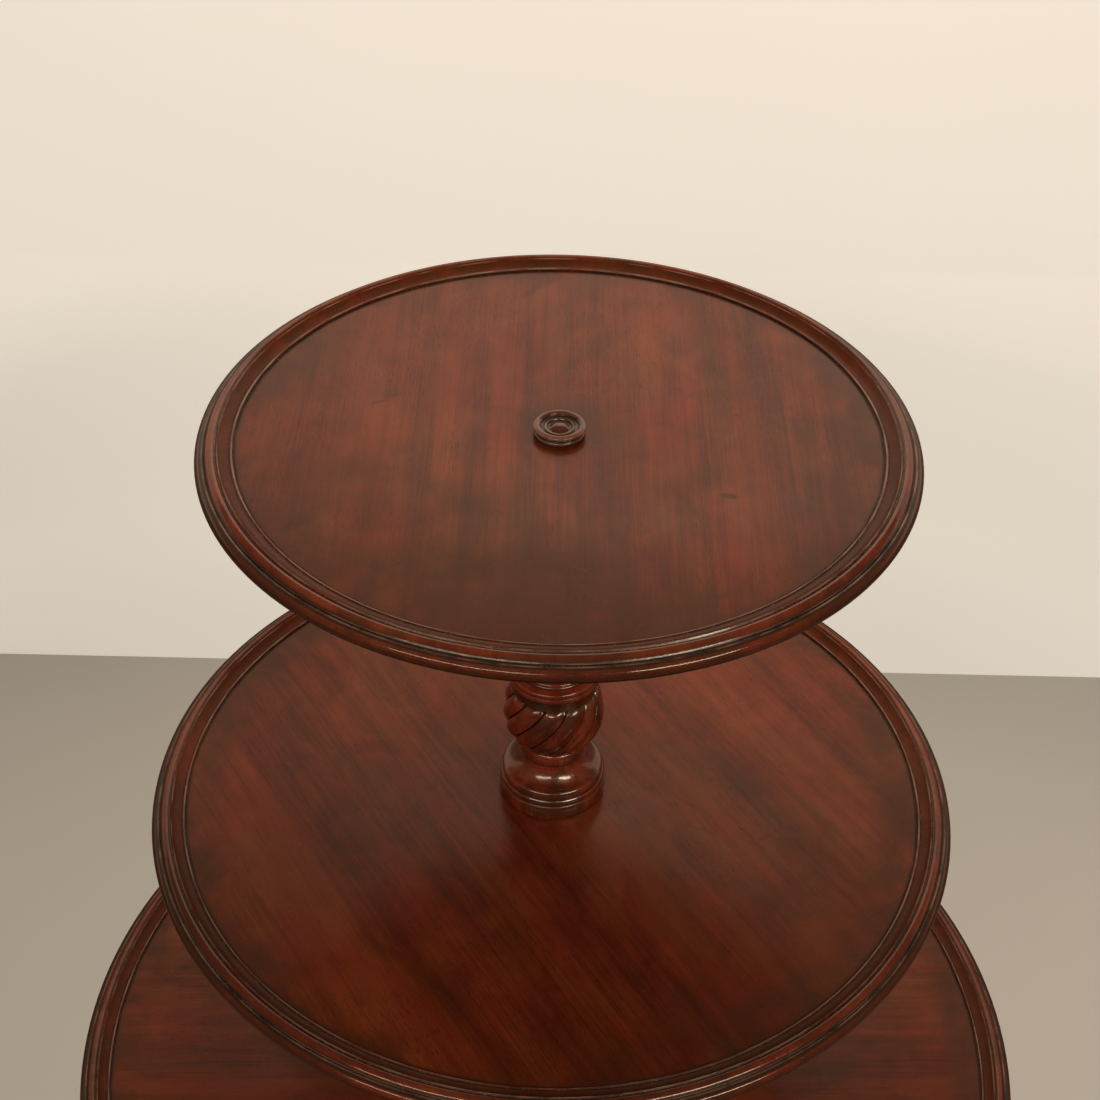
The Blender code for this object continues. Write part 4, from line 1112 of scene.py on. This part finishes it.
def leg_body(pad_level):
    """The cabriole body: a grid whose points are moved onto the leg's rings, welded and capped."""
    legs = settings("legs")
    flat = [(*upper, *lower, slim) for upper, lower, slim in LEG_STATIONS]
    runs = []
    for station in zip(*(flowing(list(enumerate(row))) for row in zip(*flat))):
        runs.append([value for _, value in station])
    around = 40
    deselect()
    bpy.ops.mesh.primitive_grid_add(x_subdivisions=around, y_subdivisions=len(runs) - 1, size=MILLIMETRE)
    made = bpy.context.object
    made.name = "leg_body"
    bottom = legs.top - legs.depth
    for number, vertex in enumerate(made.data.vertices):
        row, step = divmod(number, around + 1)
        out_up, up, out_low, low, slim = runs[row]
        upper = Vector((legs.reach * out_up, 0.0, pad_level + (legs.top - pad_level) * up))
        lower = Vector((legs.reach * out_low, 0.0, pad_level + (bottom - pad_level) * low))
        half = (legs.width + (legs.ankle - legs.width) * slim) / 2.0
        angle = math.tau * (step % around) / around
        square = LEG_SQUARE - LEG_ROUNDING * min(1.0, max(0.0, slim))
        rise, across = math.cos(angle), math.sin(angle)
        spread = (abs(rise) ** square + abs(across) ** square) ** (-1.0 / square)
        vertex.co = (upper + lower) / 2.0 + (upper - lower) / 2.0 * rise * spread
        vertex.co += Vector((0.0, half * across * spread, 0.0))
    edit_all()
    bpy.ops.mesh.remove_doubles(threshold=WELD)
    bpy.ops.mesh.fill_holes(sides=0)
    tidy_mesh(made)
    return made


def leg_pieces():
    """The three cabriole legs, coped to the block, with their dovetails and pad feet."""
    legs = settings("legs")
    pad_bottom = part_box("castor_plate_1")[1].z + SEAT_GAP
    body = leg_body(pad_bottom + legs.pad_thickness)
    block = (legs.block + 2.0 * SEAT_GAP) / MILLIMETRE
    cope = turned("cope", [(0.0, COPE_LOW), (block, COPE_LOW), (block, COPE_HIGH), (0.0, COPE_HIGH)], 96)
    pad = turned("pad", [(0.0, 0.0), *eased(flowing(PAD, 3))], 56)
    moved(pad, Matrix.Translation((legs.reach, 0.0, pad_bottom)))
    combine(body, ("DIFFERENCE", cope), ("UNION", tongue("tongue", 0.0)), ("UNION", pad))
    for index in range(LEG_COUNT):
        turn = Matrix.Rotation(leg_angle(index), 4, "Z")
        made = copied(body, f"cabriole_leg_{index + 1}", turn)
        finished(made, f"leg_{index + 1}_polish")
        placed(made, "stand", "leg_mahogany", f"leg_{index + 1}")
    bpy.data.objects.remove(body, do_unlink=True)


def brace_piece():
    """The flat iron plate under the block, with an arm and two screws under each leg."""
    legs = settings("legs")
    bottom = (legs.top - legs.depth - SEAT_GAP - legs.brace_thickness) / MILLIMETRE
    reach = legs.brace_reach / MILLIMETRE
    outline = []
    for index in range(LEG_COUNT):
        turn = Matrix.Rotation(leg_angle(index), 2)
        arm = arc((reach - BRACE_ARM, 0.0), BRACE_ARM, -90.0, 180.0, 12)
        hub = arc((0.0, 0.0), BRACE_HUB, 30.0, 60.0, 8)
        outline += [turn @ Vector(point) for point in (*arm, *hub)]
    made = plate("iron_leg_brace", outline, legs.brace_thickness / MILLIMETRE, bottom, 0.35)
    finished(made, "old_iron")
    placed(made, "stand", "iron", "leg_brace")
    spots = [(out, leg_angle(index)) for index in range(LEG_COUNT) for out in BRACE_SCREWS_OUT]
    screws("leg_brace_screws", spots, bottom * MILLIMETRE, BRACE_SCREW, "stand", "iron")


def castor_frame(index):
    """From a piece made about the swivel's axis at the origin to its place under leg number index."""
    reach = settings("legs").reach
    return Matrix.Rotation(leg_angle(index), 4, "Z") @ Matrix.Translation((reach, 0.0, 0.0))


def castor_plate(crown_bottom, pad_bottom):
    """The round plate with its riveted pivot."""
    radius = settings("castors").plate_radius / MILLIMETRE
    top, under, head = pad_bottom - GAP, pad_bottom - PLATE_DEPTH, crown_bottom - GAP
    outline = [
        (0.0, top), (radius, top), (radius, under + 0.5), (radius - 0.5, under), (3.5, under), (3.5, head),
        (5.2, head), (5.1, head - 0.7), (4.3, head - 1.7), (2.6, head - 2.3), (0.0, head - 2.5),
    ]
    return turned("castor_plate_turned", eased(outline, CASTOR_EASE), 48)


def cheek(side, crown_top, axle):
    """One curved cheek of the fork."""
    castors = settings("castors")
    trail, drop = castors.trail / MILLIMETRE, crown_top - GAP - axle
    back, front = (
        [(trail * along, axle + drop * (1.0 - down)) for along, down in edge]
        for edge in (CHEEK_BACK, CHEEK_FRONT)
    )
    outline = [*back, *arc((trail, axle), 5.2, 50.0, -190.0, 14), *front]
    thick, inner = castors.cheek / MILLIMETRE, castors.wheel_width / MILLIMETRE / 2.0 + WHEEL_PLAY
    made = plate(f"cheek_{side}", outline, thick, 0.0, 0.3)
    start = inner + thick if side > 0 else -inner
    lift = Matrix.Translation((0.0, start * MILLIMETRE, 0.0)) @ Matrix.Rotation(math.pi / 2.0, 4, "X")
    return moved(made, lift)


def castor_fork(crown_bottom, crown_top, axle):
    """The fork: a round crown and two cheeks that trail back to the axle."""
    radius = settings("castors").crown_radius / MILLIMETRE
    crown = [
        (PIVOT_BORE, crown_top), (radius - 0.6, crown_top), (radius, crown_top - 0.6),
        (radius, crown_bottom + 0.8), (radius - 0.8, crown_bottom), (PIVOT_BORE, crown_bottom),
        (PIVOT_BORE, crown_top),
    ]
    made = turned("castor_fork_turned", eased(crown, CASTOR_EASE)[:-1], 48)
    bore = turned("axle_bore", [(0.0, -14.0), (AXLE_BORE, -14.0), (AXLE_BORE, 14.0), (0.0, 14.0)], 32)
    moved(bore, axle_frame(axle))
    over = crown_top + 5.0
    pivot = turned("pivot_bore", [(0.0, axle), (PIVOT_BORE, axle), (PIVOT_BORE, over), (0.0, over)], 48)
    return combine(
        made,
        ("UNION", cheek(1, crown_top, axle)),
        ("UNION", cheek(-1, crown_top, axle)),
        ("DIFFERENCE", pivot),
        ("DIFFERENCE", bore),
    )


def axle_frame(axle):
    """From a piece turned about the origin to the wheel's axle."""
    place = Matrix.Translation((settings("castors").trail, 0.0, axle * MILLIMETRE))
    return place @ Matrix.Rotation(math.pi / 2.0, 4, "X")


def castor_axle(axle):
    """The pin, riveted over outside both cheeks."""
    castors = settings("castors")
    seat = castors.wheel_width / MILLIMETRE / 2.0 + WHEEL_PLAY + castors.cheek / MILLIMETRE + GAP
    half = [(0.0, seat + 1.2), (1.4, seat + 1.1), (2.7, seat + 0.65), (3.6, seat), (2.0, seat)]
    outline = half + [(radius, -height) for radius, height in reversed(half)]
    return moved(turned("castor_axle_turned", eased(outline, 0.1), 32), axle_frame(axle))


def castor_wheel(axle):
    """The brass roller, with a boss, turned lines on its sides and a rounded tread."""
    boss = settings("castors").wheel_width / MILLIMETRE / 2.0
    side, radius = boss - 0.8, axle
    half = [
        (AXLE_BORE, boss), (5.0, boss), (5.6, side), (7.6, side), (7.8, side - 0.3), (8.2, side - 0.3),
        (8.4, side), (radius - 1.4, side), (radius - 0.5, side - 0.5), (radius - 0.05, side - 1.5),
        (radius, side - 2.8),
    ]
    outline = half + [(out, -up) for out, up in reversed(half)] + [half[0]]
    return moved(turned("castor_wheel_turned", eased(outline, CASTOR_EASE)[:-1], 72), axle_frame(axle))


def castor_pieces():
    """The three castors, each with a fixed plate, a fork that swivels and a wheel that rolls."""
    axle = JOINTS["castor_1_roll"]["pos_m"][2] / MILLIMETRE
    crown_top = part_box("castor_fork_1")[1].z / MILLIMETRE
    crown_bottom = crown_top - CROWN_DEPTH
    pad_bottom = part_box("castor_plate_1")[1].z / MILLIMETRE + GAP
    parts = (
        ("plate", castor_plate(crown_bottom, pad_bottom), "brass", "stand"),
        ("fork", castor_fork(crown_bottom, crown_top, axle), "brass", "castor_fork_{}"),
        ("axle", castor_axle(axle), "iron", "castor_fork_{}"),
        ("wheel", castor_wheel(axle), "brass", "castor_wheel_{}"),
    )
    for kind, model, slot, body in parts:
        for number in range(1, LEG_COUNT + 1):
            made = copied(model, f"castor_{number}_{kind}", castor_frame(number - 1))
            finished(made, f"old_{slot}")
            placed(made, body.format(number), slot, f"castor_{kind}_{number}")
        bpy.data.objects.remove(model, do_unlink=True)
    level = (pad_bottom - PLATE_DEPTH) * MILLIMETRE
    out = settings("castors").plate_radius - PLATE_SCREWS_IN
    for index in range(LEG_COUNT):
        centre = castor_frame(index).translation
        spots = []
        for number in range(3):
            angle = leg_angle(index) + math.tau * number / 3.0
            spot = centre.xy + Vector((math.cos(angle), math.sin(angle))) * out
            spots.append((spot.length, math.atan2(spot.y, spot.x)))
        screws(f"castor_{index + 1}_plate_screws", spots, level, PLATE_SCREW, "stand", "brass")


def button_piece():
    """The turned button over the top tray's bore."""
    end = TRAY_PLAY / MILLIMETRE - TENON_DEPTH
    outline = [(0.0, end), (TENON_RADIUS, end), (TENON_RADIUS, BUTTON[0][1]), *flowing(BUTTON)]
    made = turned("turned_finial_button", eased(outline), 96)
    settle(made, LEVELS["top"], "button_polish", "stand", "turned_mahogany", "finial_button")


# Stage.


def set_up(name, data, place, turn):
    """Puts a lamp or the camera in the scene."""
    made = bpy.data.objects.new(name, data)
    bpy.context.scene.collection.objects.link(made)
    made.matrix_world = Matrix.Translation(place) @ turn.to_4x4()
    return made


def area_lamp(name, place, aim, width, height, power, mirrored):
    """A rectangular lamp aimed at a height on the column's axis. The camera doesn't see it."""
    data = bpy.data.lights.new(name, "AREA")
    data.shape = "RECTANGLE"
    data.size, data.size_y = width, height
    data.energy = power
    data.color = settings("stage").lamp
    direction = Vector((0.0, 0.0, aim)) - Vector(place)
    lamp = set_up(name, data, place, direction.to_track_quat("-Z", "Y").to_matrix())
    lamp.visible_camera = False
    lamp.visible_glossy = mirrored


def camera():
    """The camera, at the place and the angle found from the rims."""
    pitch, roll, yaw = (math.radians(angle) for angle in (CAMERA_PITCH, CAMERA_ROLL, CAMERA_YAW))
    forward = Vector((math.sin(yaw) * math.cos(pitch), math.cos(yaw) * math.cos(pitch), -math.sin(pitch)))
    side = Vector((math.cos(yaw), -math.sin(yaw), 0.0))
    up = side.cross(forward)
    rolled_side = side * math.cos(roll) + up * math.sin(roll)
    rolled_up = -side * math.sin(roll) + up * math.cos(roll)
    data = bpy.data.cameras.new("camera")
    data.lens = settings("stage").lens
    data.sensor_width = CAMERA_SENSOR
    data.shift_x = CAMERA_SHIFT
    turn = Matrix((rolled_side, rolled_up, -forward)).transposed()
    place = (0.0, -CAMERA_BACK, LEVELS["top"] + CAMERA_OVER_TOP)
    bpy.context.scene.camera = set_up("camera", data, place, turn)


def seen_rays(tree, height):
    """One for rays from the camera and, high up, from shiny surfaces, and nought for shared light."""
    path = node(tree, "LightPath").outputs
    seen = reckon(tree, "ADD", path["Is Camera Ray"], path["Is Transmission Ray"], True)
    mirrored = times(tree, path["Is Glossy Ray"], ranged(tree, height, *MIRROR_HEIGHTS))
    return reckon(tree, "ADD", seen, mirrored, True)


def stage_paint(name, shade, bounce, glow):
    """Plain paint for the floor or the backdrop: dimmer for the light it shares out, and clear from behind."""
    tree, shader = new_material(name)
    place = node(tree, "TexCoord").outputs["Object"]
    darker, dull = (tint(share * channel for channel in shade) for share in (0.97, bounce))
    cloudy = blend(tree, clouds(tree, place, 3.0, 3.0), darker, tint(shade))
    seen = seen_rays(tree, node(tree, "SeparateXYZ", {0: place}).outputs["Z"])
    fill(tree, shader, {
        "Base Color": blend(tree, seen, dull, cloudy), "Roughness": 0.9, "Specular IOR Level": 0.1,
        "Emission Color": blend(tree, seen, tint((0.0, 0.0, 0.0)), cloudy), "Emission Strength": glow,
    })
    behind = node(tree, "NewGeometry").outputs["Backfacing"]
    clear = node(tree, "BsdfTransparent").outputs[0]
    sides = node(tree, "MixShader", {0: behind, 1: shader.outputs[0], 2: clear}).outputs[0]
    fill(tree, tree.nodes["Material Output"], {"Surface": sides})


def stage_plane(name, paint):
    """A wide square of paint, flat on the ground."""
    deselect()
    bpy.ops.mesh.primitive_plane_add(size=STAGE_WIDTH)
    made = bpy.context.object
    made.name = name
    give(made, paint)
    return made


class DUMBWAITER_OT_finishes(bpy.types.Operator):
    """Make the wood, brass and iron finishes"""

    bl_idname = "dumbwaiter.finishes"
    bl_label = "Make the finishes"

    def execute(self, context):
        colours = settings("finishes")
        grain_group()
        age_group()
        upright = (0.0, math.radians(90.0), 0.0)
        for number, tier in enumerate(TIERS):
            wood = {
                "light": colours.tray_light, "dark": colours.tray_dark, "contrast": 1.3,
                "turn": (0.0, 0.0, math.radians(-GRAIN_TURNS[tier])),
                "shift": (1.7 * number, 0.9 * number, 0.0),
            }
            mahogany(f"{tier}_tray_polish", **wood, dirt_and_shade=functools.partial(field_grime_and_shade, tier=tier))
            mahogany(
                f"{tier}_rim_polish", **wood, dirt_and_shade=functools.partial(rim_grime_and_shade, tier=tier),
                polish=(0.04, 0.12), wear=0.6, gloss=0.34, coat=0.08,
            )
            mahogany(
                f"{tier}_cove_polish", **wood, dirt_and_shade=functools.partial(rim_grime_and_shade, tier=tier),
                polish=(0.14, 0.26), wear=0.6, gloss=0.1,
            )
        turned_wood = (colours.turned_light, colours.turned_dark)
        mahogany(
            "column_polish", *turned_wood, turn=upright, dirt_and_shade=column_grime, polish=(0.11, 0.21), contrast=1.6,
            stains=0.4, wear=0.7, gloss=0.5, coat=0.25,
        )
        mahogany(
            "button_polish", colours.button_light, colours.button_dark, shift=(3.0, 1.0, 0.0),
            dirt_and_shade=button_darkening, polish=(0.07, 0.15), wear=0.7, coat=0.5,
        )
        mahogany("hub_stain", colours.bare_light, colours.bare_dark, polish=(0.5, 0.7))
        mahogany("bare_wood", colours.bare_light, colours.bare_dark, polish=(0.55, 0.75))
        for index in range(LEG_COUNT):
            slope = (0.0, math.radians(35.0), -leg_angle(index))
            mahogany(
                f"leg_{index + 1}_polish", *turned_wood, turn=slope, shift=(0.0, 0.7 * index, 0.4),
                polish=(0.12, 0.22), stains=0.3, gloss=0.16, coat=0.4,
            )
        metal("old_brass", colours.brass, colours.tarnish, (0.28, 0.5), 0.7)
        metal("old_iron", colours.iron, colours.rust, (0.45, 0.7), 0.4)
        return {"FINISHED"}


class DUMBWAITER_OT_trays(bpy.types.Operator):
    """Model the three dished trays with their moulded rims"""

    bl_idname = "dumbwaiter.trays"
    bl_label = "Model the trays"

    def execute(self, context):
        for tier in TIERS:
            tray_piece(tier)
        return {"FINISHED"}


class DUMBWAITER_OT_hubs(bpy.types.Operator):
    """Model the hub with its screws and the bearing washer under each tray"""

    bl_idname = "dumbwaiter.hubs"
    bl_label = "Model the hubs and washers"

    def execute(self, context):
        for tier in TIERS:
            hub_piece(tier)
            washer_piece(tier)
        return {"FINISHED"}


class DUMBWAITER_OT_columns(bpy.types.Operator):
    """Model the two carved column stages between the trays"""

    bl_idname = "dumbwaiter.columns"
    bl_label = "Model the columns"

    def execute(self, context):
        reach = settings("column").spigot_reach
        bottom, middle, top = (LEVELS[tier] for tier in TIERS)
        lower, upper = middle - bottom, top - middle
        column_piece("carved_lower_column", "lower_column", bottom, lower, lower + reach, False)
        column_piece("carved_upper_column", "upper_column", middle, upper, upper + TRAY_PLAY - SEAT_GAP, True)
        return {"FINISHED"}


class DUMBWAITER_OT_button(bpy.types.Operator):
    """Model the finial button on the top tray"""

    bl_idname = "dumbwaiter.button"
    bl_label = "Model the button"

    def execute(self, context):
        button_piece()
        return {"FINISHED"}


class DUMBWAITER_OT_pillar(bpy.types.Operator):
    """Model the base pillar with the block that holds the legs"""

    bl_idname = "dumbwaiter.pillar"
    bl_label = "Model the pillar"

    def execute(self, context):
        pillar_piece()
        return {"FINISHED"}


class DUMBWAITER_OT_legs(bpy.types.Operator):
    """Model the three cabriole legs and the iron brace below them"""

    bl_idname = "dumbwaiter.legs"
    bl_label = "Model the legs and brace"

    def execute(self, context):
        leg_pieces()
        brace_piece()
        return {"FINISHED"}


class DUMBWAITER_OT_castors(bpy.types.Operator):
    """Model the three brass castors"""

    bl_idname = "dumbwaiter.castors"
    bl_label = "Model the castors"

    def execute(self, context):
        castor_pieces()
        return {"FINISHED"}


class DUMBWAITER_OT_stage(bpy.types.Operator):
    """Set the floor, the backdrop, the light and the camera"""

    bl_idname = "dumbwaiter.stage"
    bl_label = "Set the stage"

    def execute(self, context):
        stage = settings("stage")
        camera()
        stage_paint("floor_paint", stage.floor, 0.3, 0.12)
        stage_paint("wall_paint", stage.wall, 0.35, 0.5)
        floor, wall = stage_plane("floor", "floor_paint"), stage_plane("backdrop", "wall_paint")
        upright = Matrix.Rotation(math.pi / 2.0, 4, "X")
        moved(wall, Matrix.Translation((0.0, WALL_BEHIND, WALL_TOP - STAGE_WIDTH / 2.0)) @ upright)
        for name, values in LAMPS.items():
            area_lamp(name, *values)
        world = bpy.data.worlds.new("world")
        world.use_nodes = True
        tree = world.node_tree
        ray = node(tree, "LightPath").outputs["Is Camera Ray"]
        sky = blend(tree, ray, tint(stage.ambient), tint(stage.surround))
        fill(tree, tree.nodes["Background"], {"Color": sky})
        context.scene.world = world
        context.scene.view_settings.view_transform = "Standard"
        return {"FINISHED"}


OPERATORS = (
    DUMBWAITER_OT_finishes,
    DUMBWAITER_OT_trays,
    DUMBWAITER_OT_hubs,
    DUMBWAITER_OT_columns,
    DUMBWAITER_OT_button,
    DUMBWAITER_OT_pillar,
    DUMBWAITER_OT_legs,
    DUMBWAITER_OT_castors,
    DUMBWAITER_OT_stage,
)


class DUMBWAITER_PT_pieces(bpy.types.Panel):
    """Lists the table's pieces and their settings"""

    bl_label = "Dumbwaiter Table"
    bl_idname = "DUMBWAITER_PT_pieces"
    bl_space_type = "VIEW_3D"
    bl_region_type = "UI"
    bl_category = "Dumbwaiter"

    def draw(self, context):
        for operator in OPERATORS:
            self.layout.operator(operator.bl_idname)
        for name, group in SETTINGS.items():
            box = self.layout.box()
            box.label(text=group.__doc__)
            for key in group.__annotations__:
                box.prop(getattr(context.scene, name), key)


def register():
    """Makes the settings, the operators and the panel known."""
    for group in SETTINGS.values():
        bpy.utils.register_class(group)
    for name, group in SETTINGS.items():
        setattr(bpy.types.Scene, name, PointerProperty(type=group))
    for operator in OPERATORS:
        bpy.utils.register_class(operator)
    bpy.utils.register_class(DUMBWAITER_PT_pieces)


def unregister():
    """Takes away the panel, the operators and the settings."""
    bpy.utils.unregister_class(DUMBWAITER_PT_pieces)
    for operator in reversed(OPERATORS):
        bpy.utils.unregister_class(operator)
    for name in SETTINGS:
        delattr(bpy.types.Scene, name)
    for group in reversed(SETTINGS.values()):
        bpy.utils.unregister_class(group)


def main():
    """Builds the table and its stage."""
    register()
    for operator in OPERATORS:
        family, call = operator.bl_idname.split(".")
        getattr(getattr(bpy.ops, family), call)()


if __name__ == "__main__":
    main()
